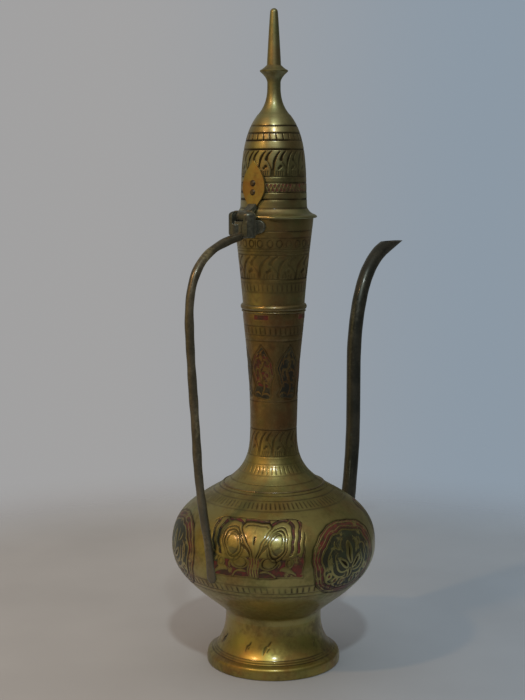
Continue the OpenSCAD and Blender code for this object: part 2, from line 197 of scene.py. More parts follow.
@dataclass
class Patch:
    """A flat working area on a shell, with x to the right and y up, in millimetres."""

    x: Array
    y: Array

    def mirrored(self) -> Patch:
        """Folds the area about its upright middle line, so that a mark shows on both sides."""
        return Patch(np.abs(self.x), self.y)

    def beside(self, a: Array, b: Array) -> tuple[Array, Array]:
        """Measures the area against the straight line from a to b.

        Args:
            a: The line's first point.
            b: The line's last point.

        Returns:
            How far along the line each place lies, as a share, and its distance from it.
        """
        d = b - a
        t = np.clip(((self.x - a[0]) * d[0] + (self.y - a[1]) * d[1]) / max(d @ d, 1e-9), 0, 1)
        return t, np.hypot(self.x - a[0] - t * d[0], self.y - a[1] - t * d[1])

    def stroke(self, points: Sequence[Point], widths: Sequence[float]) -> Array:
        """Measures the distance to a stroke that swells and tapers.

        Args:
            points: The stroke's points.
            widths: Its half width at evenly spaced places along the points.

        Returns:
            The signed distance to the stroke's edge.
        """
        pts = np.array(points, float)
        half = np.interp(np.linspace(0, 1, len(pts)), np.linspace(0, 1, len(widths)), widths)
        best = np.full(self.x.shape, FAR)
        for a, b, first, last in zip(pts[:-1], pts[1:], half[:-1], half[1:]):
            t, gap = self.beside(a, b)
            best = np.minimum(best, gap - (first + (last - first) * t))
        return best

    def sweep(self, p: Point, a: Point, b: Point, q: Point, widths: Sequence[float]) -> Array:
        """Measures the distance to a stroke along the curve from p to q with controls a and b."""
        return self.stroke(bezier(*(np.array(v, float) for v in (p, a, b, q)), steps=9), widths)

    def oval(self, cx: float, cy: float, rx: float, ry: float, turn: float = 0.0) -> Array:
        """Measures the distance to an oval.

        Args:
            cx: Its centre's x.
            cy: Its centre's y.
            rx: Half its width.
            ry: Half its height.
            turn: The angle by which it is turned, in degrees.

        Returns:
            The signed distance.
        """
        c, s = math.cos(math.radians(turn)), math.sin(math.radians(turn))
        u, v = self.x - cx, self.y - cy
        u, v = u * c + v * s, v * c - u * s
        return (np.hypot(u / rx, v / ry) - 1.0) * min(rx, ry)

    def polygon(self, corners: Sequence[Point]) -> Array:
        """Measures the distance to a filled polygon.

        Args:
            corners: Its corners in order.

        Returns:
            The signed distance.
        """
        pts = [np.array(p, float) for p in corners]
        inside = np.zeros(self.x.shape, bool)
        best = np.full(self.x.shape, FAR * 3)
        for a, b in zip(pts, pts[1:] + pts[:1]):
            best = np.minimum(best, self.beside(a, b)[1])
            crossed = (a[1] > self.y) != (b[1] > self.y)
            with np.errstate(divide="ignore", invalid="ignore"):
                inside ^= crossed & (self.x < (b[0] - a[0]) * (self.y - a[1]) / (b[1] - a[1]) + a[0])
        return np.where(inside, -best, best)


def outline(distance: Array, half: float) -> Array:
    """Turns the distance to a shape into the distance to a line along its edge."""
    return np.abs(distance) - half


def union(*distances: Array) -> Array:
    """Gives the distance to the nearest of several shapes."""
    return np.minimum.reduce(distances)


def overlap(*distances: Array) -> Array:
    """Gives the distance to what several shapes have in common."""
    return np.maximum.reduce(distances)


def without(distance: Array, *cuts: Array) -> Array:
    """Takes shapes out of another."""
    return overlap(distance, *(-cut for cut in cuts))


class Mark(Enum):
    """What a mark is: a blackened cut, or a cell of enamel."""

    CUT = "cut_mm"
    RED = "red_mm"
    GREEN = "green_mm"


@dataclass
class Grid:
    """The marks on a shell, one value for each of its points.

    Attributes:
        angle: The angles of its columns.
        profile: The shell's outside.
        s: The lengths along the outside at which its rows lie.
        radius: The radius of each row.
        fields: The distance to the nearest mark of each kind.
        drift: Where the wave that crowds the cells of a band starts.
        lean: Where the wave that shifts them sideways starts.
    """

    angle: Array
    profile: Profile
    s: Array
    radius: Array = field(init=False)
    fields: dict[Mark, Array] = field(init=False)
    drift: float = field(init=False)
    lean: float = field(init=False)

    def __post_init__(self) -> None:
        """Starts with a bare surface."""
        self.radius = self.profile.at(self.s)[:, :1]
        self.fields = {mark: np.full((len(self.s), len(self.angle)), FAR) for mark in Mark}
        self.drift, self.lean = np.random.default_rng(7).uniform(0, TAU, 2)

    def add(self, mark: Mark, distance: Array, rows: Array | slice = slice(None),
            columns: Array | slice = slice(None)) -> None:
        """Adds a mark where it is nearer than those already there."""
        held = self.fields[mark]
        held[rows, columns] = np.minimum(held[rows, columns], distance)

    def turned_from(self, centre: float) -> Array:
        """Gives each column's angle from a centre line, from minus to plus half a turn."""
        return (self.angle - centre + math.pi) % TAU - math.pi

    def band(self, low: float, high: float, margin: float = 1.5) -> tuple[Array, Array]:
        """Finds the rows near a band.

        Args:
            low: Height of the band's lower edge.
            high: Height of its upper edge.
            margin: How far beyond the edges rows count.

        Returns:
            The rows, and their lengths above the band's middle.
        """
        s_low, s_high = self.profile.length_at(low), self.profile.length_at(high)
        rows = np.nonzero((self.s > s_low - margin) & (self.s < s_high + margin))[0]
        return rows, self.s[rows] - (s_low + s_high) / 2

    def repeat(self, low: float, high: float, count: int, start: float) -> tuple[Array, Patch, float, float]:
        """Lays out a band of nearly equal cells around the shell.

        Args:
            low: Height of the band's lower edge.
            high: Height of its upper edge.
            count: The number of cells.
            start: The angle of one cell's middle, in degrees.

        Returns:
            The rows, the patch with each cell's own x and y, and the cell's half
            width and half height.
        """
        rows, y = self.band(low, high)
        pitch = TAU / count
        turn = self.angle - math.radians(start)
        cell = np.round(turn / pitch)
        crowding = 0.02 * np.sin(cell * 2.3 + self.drift) * pitch
        x = (turn - cell * pitch + crowding)[None, :] * self.radius[rows]
        sideways = 0.10 * np.sin(cell * 1.7 + self.lean)[None, :]
        tall = (self.profile.length_at(high) - self.profile.length_at(low)) / 2
        wide = float(np.mean(self.radius[rows])) * pitch / 2
        return rows, Patch(x + sideways, y[:, None] + 0 * x), wide, tall


# ---- Ornaments ----


@dataclass(frozen=True)
class Ornament:
    """A mark, or a band of marks, that goes around a shell."""

    def cut_into(self, grid: Grid) -> None:
        """Draws the ornament.

        Args:
            grid: The shell's marks.
        """
        raise NotImplementedError


@dataclass(frozen=True)
class RingLine(Ornament):
    """A turned line.

    Attributes:
        height: Its height.
        half: Half its width.
    """

    height: float
    half: float

    def cut_into(self, grid: Grid) -> None:
        """Draws the line."""
        away = np.abs(grid.s - grid.profile.length_at(self.height)) - self.half
        grid.add(Mark.CUT, away[:, None])


@dataclass(frozen=True)
class Band(Ornament):
    """Equal marks around a shell.

    Attributes:
        low: Height of the lower edge.
        high: Height of the upper edge.
        count: The number of marks.
    """

    low: float
    high: float
    count: int

    def edge(self, grid: Grid, half: float) -> None:
        """Draws a turned line of a half width along each edge."""
        for height in (self.low, self.high):
            RingLine(height, half).cut_into(grid)


@dataclass(frozen=True)
class Teeth(Band):
    """Short upright strokes between two turned lines.

    Attributes:
        half: Half a stroke's width.
        reach: How much of the band's height a stroke fills.
    """

    half: float = 0.36
    reach: float = 0.66

    def cut_into(self, grid: Grid) -> None:
        """Draws the strokes."""
        self.edge(grid, self.half * 0.6)
        rows, patch, wide, tall = grid.repeat(self.low, self.high, self.count, 0.0)
        ends = [(0.1 * wide, -tall * self.reach), (-0.1 * wide, tall * self.reach)]
        grid.add(Mark.CUT, patch.stroke(ends, [self.half, self.half * 0.7]), rows)


@dataclass(frozen=True)
class Zigzag(Band):
    """Narrow chevrons of bright metal on a red ground."""

    def cut_into(self, grid: Grid) -> None:
        """Draws the chevrons."""
        self.edge(grid, 0.36)
        rows, patch, wide, tall = grid.repeat(self.low, self.high, self.count, 0.0)
        path = [(-wide, -tall * 0.66), (0, tall * 0.66), (wide, -tall * 0.66)]
        bright = patch.stroke(path, [0.32, 0.32])
        grid.add(Mark.RED, without(np.abs(patch.y) - tall * 0.8, bright), rows)


@dataclass(frozen=True)
class LeafBand(Band):
    """Pears between leaning blades, with a comma over each pear's shoulder.

    Attributes:
        start: The angle of one pear's middle, in degrees.
        bold: How much wider than a fine line the main strokes are on each side.
    """

    start: float = 0.0
    bold: float = 0.16

    def cut_into(self, grid: Grid) -> None:
        """Draws the leaves."""
        self.edge(grid, 0.3)
        rows, p, w, h = grid.repeat(self.low, self.high, self.count, self.start)
        blade = p.sweep((-0.94 * w, -0.62 * h), (-0.96 * w, 0.05 * h), (-0.66 * w, 0.42 * h),
                        (0.02 * w, 0.84 * h), [0.34, 0.46, 0.36, 0.1])
        stalk = union(*(p.stroke([(k * w, -0.96 * h), (k * w, -0.5 * h)], [0.52, 0.3])
                        for k in (-1.0, 1.0)))
        flank = p.sweep((0.26 * w, 0.24 * h), (0.42 * w, -0.02 * h), (0.86 * w, -0.22 * h),
                        (0.98 * w, -0.6 * h), [0.1, 0.2, 0.24])
        comma = union(p.oval(0.20 * w, 0.27 * h, 0.62, 0.72),
                      p.sweep((0.20 * w, 0.30 * h), (0.30 * w, 0.52 * h), (0.52 * w, 0.72 * h),
                              (0.88 * w, 0.86 * h), [0.5, 0.36, 0.26, 0.1]))
        dots = union(p.oval(-0.14 * w, -0.40 * h, 0.42, 0.5),
                     p.oval(0.12 * w, -0.26 * h, 0.56, 0.62))
        ticks = union(*(p.stroke([(k * w, -0.60 * h), ((k - 0.03) * w, -0.88 * h)], [0.12, 0.16])
                        for k in (-0.45, -0.15, 0.15, 0.45)))
        grid.add(Mark.CUT, union(union(blade, stalk, comma, dots) - self.bold, flank, ticks), rows)


@dataclass(frozen=True)
class Eyes(Band):
    """Upright ovals with a bar between each two."""

    def cut_into(self, grid: Grid) -> None:
        """Draws the ovals and the bars."""
        rows, p, w, h = grid.repeat(self.low, self.high, self.count, 0.0)
        eye = outline(p.oval(0, 0, 1.5, 1.9), 0.2)
        bar = p.stroke([(w, -h * 0.7), (w, h * 0.7)], [0.2, 0.2])
        grid.add(Mark.CUT, union(eye, bar), rows)


@dataclass(frozen=True)
class RedBars(Band):
    """Short level bars of red enamel.

    Attributes:
        start: The angle of one bar's middle, in degrees.
        half: Half a bar's length.
    """

    start: float
    half: float

    def cut_into(self, grid: Grid) -> None:
        """Draws the bars."""
        rows, p, _, h = grid.repeat(self.low, self.high, self.count, self.start)
        grid.add(Mark.RED, overlap(np.abs(p.x) - self.half, np.abs(p.y) - h * 0.9), rows)


@dataclass(frozen=True)
class StruckLeaves(Ornament):
    """What is left of a row of slanted leaves.

    Attributes:
        low: Height of the lower edge.
        high: Height of the upper edge.
        places: The angle of each leaf, in degrees, and its size as a share.
    """

    low: float
    high: float
    places: tuple[Point, ...]

    def cut_into(self, grid: Grid) -> None:
        """Draws each leaf where it is."""
        rows, y = grid.band(self.low, self.high)
        for turn, size in self.places:
            away = grid.turned_from(math.radians(turn))
            near = np.nonzero(np.abs(away) < 0.2)[0]
            x = away[near][None, :] * grid.radius[rows] / size
            p = Patch(x, y[:, None] / size + 0 * x)
            slash = p.stroke([(1.9, 3.6), (1.0, 1.8), (0.6, 0.6)], [0.2, 0.5, 0.2])
            leaf = p.sweep((0.4, 1.2), (-1.2, 0.6), (-1.4, -1.6), (-2.2, -3.8), [0.2, 0.7, 0.5, 0.12])
            tick = p.stroke([(0.9, -0.6), (-0.2, -2.4)], [0.3, 0.14])
            grid.add(Mark.CUT, union(slash, leaf, tick) * size, *np.ix_(rows, near))


# ---- Panels of the belly and the neck ----


@dataclass
class PanelMarks:
    """The three kinds of mark that make one panel."""

    cut: Array
    red: Array
    green: Array


def cartouche(p: Patch) -> PanelMarks:
    """Draws the wide panel: a cup with stamens between two ribbed pods, over a tied stem.

    Args:
        p: The panel's area, with its middle at 0.

    Returns:
        The panel's marks.
    """
    q = p.mirrored()
    corner = np.hypot(np.maximum(q.x - 16.5, 0), np.maximum(p.y - 5.6, 0)) - 10.8
    edge = overlap(np.abs(p.y) - 16.4, q.x - 27.0 - 0.03 * p.y, corner)
    cup = q.polygon([(-0.1, 14.6), (6.4, 14.4), (8.2, 11.6), (1.6, -5.4), (-0.1, -5.4)])
    cup_lines = union(
        q.stroke([(0, 14.6), (6.2, 14.2), (7.9, 12.0), (7.9, 10.6)], [0.5, 0.5, 0.42, 0.2]),
        q.stroke([(0, 12.4), (4.9, 12.1), (6.2, 10.8)], [0.22, 0.26, 0.1]),
        q.sweep((8.2, 11.2), (6.8, 7.4), (3.2, 2.2), (0.9, -5.4), [0.2, 0.3, 0.22]),
        q.sweep((10.0, 11.0), (8.6, 7.0), (5.0, 1.6), (2.4, -4.8), [0.14, 0.2, 0.14]))
    pod = q.oval(12.0, 1.7, 4.5, 7.5, -7)
    ribs = np.abs((pod - 0.7 + 66.0) % 3.3 - 1.65) - 0.86
    fan = overlap(pod - 13.6, 1.0 - pod, 10.5 - q.x - 0.25 * q.y, -5.0 - p.y)
    stamen = union(
        q.stroke([(0, 5.2), (0, 3.2), (0, 1.2)], [0.55, 0.42, 0.3]),
        q.sweep((2.2, -5.2), (3.2, -2.6), (4.8, 0.0), (7.2, 0.9), [0.2, 0.5, 0.85, 0.5]))
    pod_marks = union(
        overlap(outline(pod + 1.5, 0.14), 1.0 - p.y),
        q.sweep((9.4, 6.0), (10.6, 8.2), (12.6, 8.3), (14.2, 6.4), [0.1, 0.3, 0.1]),
        q.sweep((8.8, 0.4), (9.4, -2.4), (11.2, -4.6), (13.6, -4.9), [0.1, 0.3, 0.16]))
    bulb = q.oval(8.0, -8.2, 4.3, 3.0, 8)
    berry = q.oval(18.6, -8.6, 2.2, 2.9)
    leaf = q.sweep((14.6, -12.2), (16.6, -10.8), (19.6, -12.2), (22.4, -15.0), [0.5, 1.3, 1.0, 0.3])
    scroll = q.sweep((4.0, -13.0), (6.6, -12.2), (9.6, -12.4), (11.4, -15.6), [0.4, 0.5, 0.4, 0.4])
    curl = q.sweep((10.9, -7.6), (13.4, -6.8), (14.6, -9.0), (13.0, -10.6), [0.3, 0.6, 0.3])
    crest = q.sweep((9.2, 13.2), (11.6, 12.0), (15.0, 12.4), (16.8, 15.4), [0.35, 0.5, 0.35])
    bract = q.sweep((11.0, -5.9), (14.6, -6.6), (19.6, -5.8), (24.4, -3.2), [0.3, 0.7, 0.6, 0.25])
    tie = overlap(q.x - 3.2 + 0.03 * (p.y + 10.6) ** 2, np.abs(p.y + 10.8) - 5.4)
    stripes = overlap(np.abs(q.x % 1.4 - 0.7) - 0.34, tie + 0.3)
    web = q.polygon([(-0.1, 9.8), (8.6, 9.8), (12.0, 6.0), (12.0, -5.4), (-0.1, -5.4)])
    gold = union(cup, pod - 1.1, web, overlap(ribs, fan), bulb - 0.5, berry, leaf, scroll, curl, crest,
                 bract, tie)
    cut = union(outline(edge, 0.2), cup_lines, outline(pod, 0.26), outline(pod - 1.2, 0.12),
                stamen, pod_marks, overlap(outline(gold - 0.25, 0.15), edge),
                outline(bulb + 0.4, 0.18), outline(berry + 0.9, 0.15))
    ground = union(without(edge + 0.5, gold - 0.1), stripes)
    dark_end = overlap(ground, 19.0 + p.x, np.abs(p.y) - 9.5)
    red = overlap(ground, -overlap(19.4 + p.x, np.abs(p.y) - 9.1))
    glaze = overlap(pod + 0.9, p.y + 0.6 - 0.3 * (q.x - 12.0), np.full_like(p.x, -0.03))
    return PanelMarks(cut, red, overlap(union(dark_end, glaze), -stamen))


def medallion(p: Patch) -> PanelMarks:
    """Draws the round panel: petals with slits in a scalloped field, inside a broad ring.

    Args:
        p: The panel's area, with its middle at 0.

    Returns:
        The panel's marks.
    """
    q = p.mirrored()
    disc = p.oval(0, 0, 24.8, 21.8)
    turn = np.arctan2(p.y, p.x)
    inner = p.oval(0, -0.4, 18.2, 15.6) - 0.9 * np.abs(np.cos(4.5 * (turn - 0.5 * math.pi)))
    petals = (q.oval(0, 3.6, 2.5, 6.2), q.oval(4.9, -1.9, 1.9, 4.6, -45), q.oval(0, -8.0, 1.7, 3.2))
    slits = union(
        q.stroke([(0, 7.8), (0, 3.0), (0, -1.4)], [0.25, 0.6, 0.34]),
        q.stroke([(2.8, -3.9), (4.6, -2.1), (6.6, -0.1)], [0.4, 0.85, 0.4]),
        q.stroke([(0, -5.6), (0, -7.4), (0, -10.4)], [0.35, 0.6, 0.2]))
    blades = union(
        q.sweep((2.4, -6.4), (8.4, -8.6), (12.0, -3.2), (9.8, 3.6), [0.3, 0.5, 0.5, 0.2]),
        q.sweep((3.4, -9.2), (11.2, -11.6), (15.4, -4.4), (12.8, 4.4), [0.3, 0.55, 0.5, 0.2]),
        q.sweep((5.2, 4.4), (6.6, 6.4), (6.4, 9.0), (4.2, 11.6), [0.25, 0.5, 0.25]),
        q.sweep((7.8, 5.6), (9.6, 7.0), (10.4, 8.6), (9.6, 10.4), [0.25, 0.5, 0.25]),
        q.sweep((11.6, 6.8), (13.6, 5.6), (15.4, 2.6), (15.8, -1.6), [0.25, 0.45, 0.2]))
    beads = union(q.oval(4.4, -12.6, 1.7, 2.0), q.oval(9.6, -11.0, 1.7, 1.9),
                  q.oval(14.6, -7.4, 1.5, 1.8))
    rings = union(outline(disc + 1.3, 0.26), outline(inner - 2.2, 0.2))
    gold = union(*petals, blades, outline(beads, 0.42), outline(inner, 0.4), overlap(rings, disc))
    cut = union(outline(disc, 0.26), slits, outline(inner - 0.7, 0.22))
    red = union(without(disc + 0.4, inner - 0.5, rings), beads + 0.7)
    green = without(inner + 0.3, gold, beads)
    return PanelMarks(without(cut, overlap(gold, -slits - 0.1)), red, green)


class Ground(Enum):
    """The enamel behind the scrolls of a neck panel."""

    CRIMSON = "crimson"
    BOTTLE = "bottle"


def ogee(p: Patch, ground: Ground) -> PanelMarks:
    """Draws one waisted frame of the neck's floral band, with scrolls up its middle.

    Args:
        p: The panel's area, with its middle at 0.
        ground: The enamel behind the scrolls.

    Returns:
        The panel's marks.
    """
    q = p.mirrored()
    levels = (-15.2, -14.4, -12.6, -10.4, -8.2, -5.0, -1.5, 2.0, 5.5, 9.0, 12.0, 15.0)
    widths = (2.6, 5.6, 7.2, 6.5, 5.9, 6.9, 8.3, 8.7, 7.8, 5.4, 2.9, 0.1)
    shape = overlap((q.x - 0.82 * np.interp(p.y, levels, widths)) * 0.8, np.abs(p.y) - 15.1)
    nested = overlap(outline(shape + 1.5, 0.22), np.abs(p.y - 1.0) - 9.4)
    bud = q.oval(0, 7.6, 1.3, 1.9)
    stem = union(
        p.sweep((0.6, 12.4), (-3.0, 9.4), (3.6, 6.0), (-0.4, 1.6), [0.3, 0.9, 0.9, 0.6]),
        p.sweep((-0.4, 1.6), (-3.8, -2.0), (3.6, -5.4), (0.2, -13.2), [0.6, 1.0, 0.8, 0.3]),
        q.sweep((0.4, 6.4), (2.6, 8.4), (4.2, 6.4), (3.4, 4.2), [0.35, 0.7, 0.35]),
        q.sweep((0.4, 0.4), (2.4, 2.4), (4.6, 0.6), (3.6, -2.0), [0.35, 0.75, 0.35]),
        q.sweep((0.4, -6.6), (2.0, -4.8), (4.0, -6.0), (3.6, -8.4), [0.3, 0.6, 0.35]),
        q.sweep((0.6, -12.6), (2.4, -11.0), (4.0, -11.6), (5.2, -13.6), [0.3, 0.6, 0.3]),
        bud)
    slots = union(outline(bud, 0.2), outline(stem, 0.16),
                  p.stroke([(0.2, -1.4), (0.4, -8.4)], [0.2, 0.28]))
    lines = union(outline(shape, 0.36), overlap(slots, shape))
    cells = without(shape + 0.6, union(nested, stem))
    if ground is Ground.BOTTLE:
        return PanelMarks(lines, np.full(p.x.shape, FAR), cells)
    from_middle = np.abs(p.y - 0.5)
    return PanelMarks(lines, overlap(cells, from_middle - 8.6), overlap(cells, 8.4 - from_middle))


@dataclass(frozen=True)
class PanelRing(Band):
    """Equal panels around a shell.

    Attributes:
        start: The angle of one panel's middle, in degrees.
        half_width: How far a panel reaches to each side where the shell is widest.
        draw: The function that draws one panel.
    """

    start: float
    half_width: float
    draw: Callable[[Patch], PanelMarks]

    def cut_into(self, grid: Grid) -> None:
        """Draws every panel, each with a slightly different hand."""
        margin = 2.0
        rows, y = grid.band(self.low, self.high, margin)
        for k in range(self.count):
            away = grid.turned_from(math.radians(self.start) + k * TAU / self.count)
            near = np.nonzero(np.abs(away) * grid.radius.max() < self.half_width + margin)[0]
            x = away[near][None, :] * grid.radius[rows]
            yy = y[:, None] + 0 * x
            shake = k * 1.9
            marks = self.draw(Patch(
                x + 0.35 * np.sin(yy * 0.33 + shake) + 0.2 * np.sin(yy * 0.9 + 2 * shake),
                yy + 0.3 * np.sin(x * 0.27 + 1.3 * shake) + 0.15 * np.sin(x * 0.8 + shake)))
            for mark, distance in zip(Mark, (marks.cut, marks.red, marks.green)):
                grid.add(mark, distance, *np.ix_(rows, near))


# ---- Node wiring ----

Operand: TypeAlias = "Wire | float | tuple"


class Wire:
    """An output socket that can be used in arithmetic."""

    def __init__(self, board: Board, socket: bpy.types.NodeSocket) -> None:
        """Keeps the board on which further nodes are put."""
        self.board = board
        self.socket = socket

    @property
    def wide(self) -> bool:
        """Tells whether the socket carries a colour or a vector."""
        return self.socket.type in {"RGBA", "VECTOR"}

    def apply(self, operation: str, *operands: Operand) -> Wire:
        """Adds the Math or Vector Math node that works on the operands.

        Args:
            operation: The node's operation.
            *operands: The values or wires of its sockets, in order.

        Returns:
            The result.
        """
        wide = any(isinstance(o, tuple) or (isinstance(o, Wire) and o.wide) for o in operands)
        kind = "ShaderNodeVectorMath" if wide else "ShaderNodeMath"
        values = [(o, o, o) if wide and isinstance(o, (int, float)) else o for o in operands]
        return self.board.node(kind, {"operation": operation}, dict(enumerate(values)))

    def __add__(self, other: Operand) -> Wire:
        """Adds."""
        return self.apply("ADD", self, other)

    def __sub__(self, other: Operand) -> Wire:
        """Subtracts."""
        return self.apply("SUBTRACT", self, other)

    def __rsub__(self, other: Operand) -> Wire:
        """Subtracts from a plain number."""
        return self.apply("SUBTRACT", other, self)

    def __mul__(self, other: Operand) -> Wire:
        """Multiplies."""
        return self.apply("MULTIPLY", self, other)

    __radd__ = __add__
    __rmul__ = __mul__

    def largest(self, other: Operand) -> Wire:
        """Gives the larger of two values."""
        return self.apply("MAXIMUM", self, other)

    def ramp(self, low: float, high: float, start: float = 0.0, end: float = 1.0) -> Wire:
        """Blends smoothly from start to end while the value goes from low to high."""
        return self.board.node(
            "ShaderNodeMapRange", {"interpolation_type": "SMOOTHSTEP"},
            {"Value": self, "From Min": low, "From Max": high, "To Min": start, "To Max": end})

    def towards(self, direction: Vector) -> Wire:
        """Measures a vector along a direction."""
        return self.board.node("ShaderNodeVectorMath", {"operation": "DOT_PRODUCT"},
                               {0: self, 1: direction}, "Value")


class Board:
    """A node tree on which finishes are wired."""

    def __init__(self, tree: bpy.types.NodeTree) -> None:
        """Clears the tree."""
        self.tree = tree
        tree.nodes.clear()

    def node(self, kind: str, settings: dict | None = None, inputs: dict | None = None,
             output: int | str = 0) -> Wire:
        """Adds a node.

        Args:
            kind: The node's type.
            settings: Its properties, which are set before its sockets.
            inputs: The values or wires of its sockets, by name or number.
            output: The socket that the result stands for.

        Returns:
            That socket as a wire.
        """
        made = self.tree.nodes.new(kind)
        for name, value in (settings or {}).items():
            setattr(made, name, value)
        for name, value in (inputs or {}).items():
            if isinstance(value, Wire):
                self.tree.links.new(value.socket, made.inputs[name])
            else:
                made.inputs[name].default_value = value
        return Wire(self, made.outputs[output] if made.outputs else None)

    def place(self) -> Wire:
        """Gives the position on the object, in metres."""
        return self.node("ShaderNodeTexCoord", output="Object")

    def mark(self, mark: Mark) -> Wire:
        """Gives the distance to the nearest mark of a kind, as it is kept on the mesh."""
        return self.node("ShaderNodeAttribute", {"attribute_name": mark.value}, output="Fac")

    def mix(self, first: Operand, second: Operand, share: Operand) -> Wire:
        """Blends two colours."""
        full = [c if isinstance(c, Wire) else (*c, 1.0) for c in (first, second)]
        return self.node("ShaderNodeMix", {"data_type": "RGBA"},
                         {0: share, 6: full[0], 7: full[1]}, output=2)

    def bump(self, height: Wire, depth: float, under: Wire | None = None) -> Wire:
        """Turns heights into normals, with a depth in metres, over those of a coarser bump."""
        coarse = {"Normal": under} if under else {}
        return self.node("ShaderNodeBump", None,
                         {"Height": height, "Distance": depth, "Strength": 1.0, **coarse})


def blend_value(low: Operand, high: Operand, share: Wire) -> Wire:
    """Blends two values by a share."""
    return (1.0 - share) * low + share * high


@dataclass(frozen=True)
class Grain:
    """Cloudy values around one half, such as stains, specks or turning marks.

    Attributes:
        scale: How many clouds lie along a metre.
        detail: How many finer layers they have.
        rough: How strongly the finer layers show.
        stretch: The scale along each axis, where it differs.
        shift: How far the clouds are moved, so that two grains don't fall together.
    """

    scale: float
    detail: float
    rough: float
    stretch: Vector | None = None
    shift: Vector | None = None

    def over(self, where: Wire) -> Wire:
        """Lays the clouds over the object.

        Args:
            where: The position on the object.

        Returns:
            The clouds.
        """
        if self.stretch:
            where = where * self.stretch
        if self.shift:
            where = where + self.shift
        return where.board.node(
            "ShaderNodeTexNoise", {"noise_dimensions": "3D"},
            {"Vector": where, "Scale": self.scale, "Detail": self.detail, "Roughness": self.rough})


# ---- Finishes ----


@dataclass(frozen=True)
class Finish:
    """What all finishes share.

    Attributes:
        name: The material's name.
        slot: The record's material slot; nothing in this script reads it.
    """

    name: str
    slot: str

    def wire(self, board: Board) -> dict:
        """Gives the values and wires of the main shader's sockets.

        Args:
            board: The material's board.

        Returns:
            The sockets by name.
        """
        raise NotImplementedError

    def material(self) -> bpy.types.Material:
        """Makes the material, or gives the one already made."""
        held = bpy.data.materials.get(self.name)
        if held is not None:
            return held
        made = bpy.data.materials.new(self.name)
        made.use_nodes = True
        board = Board(made.node_tree)
        shader = board.node("ShaderNodeBsdfPrincipled", None, self.wire(board))
        board.node("ShaderNodeOutputMaterial", None, {"Surface": shader})
        return made


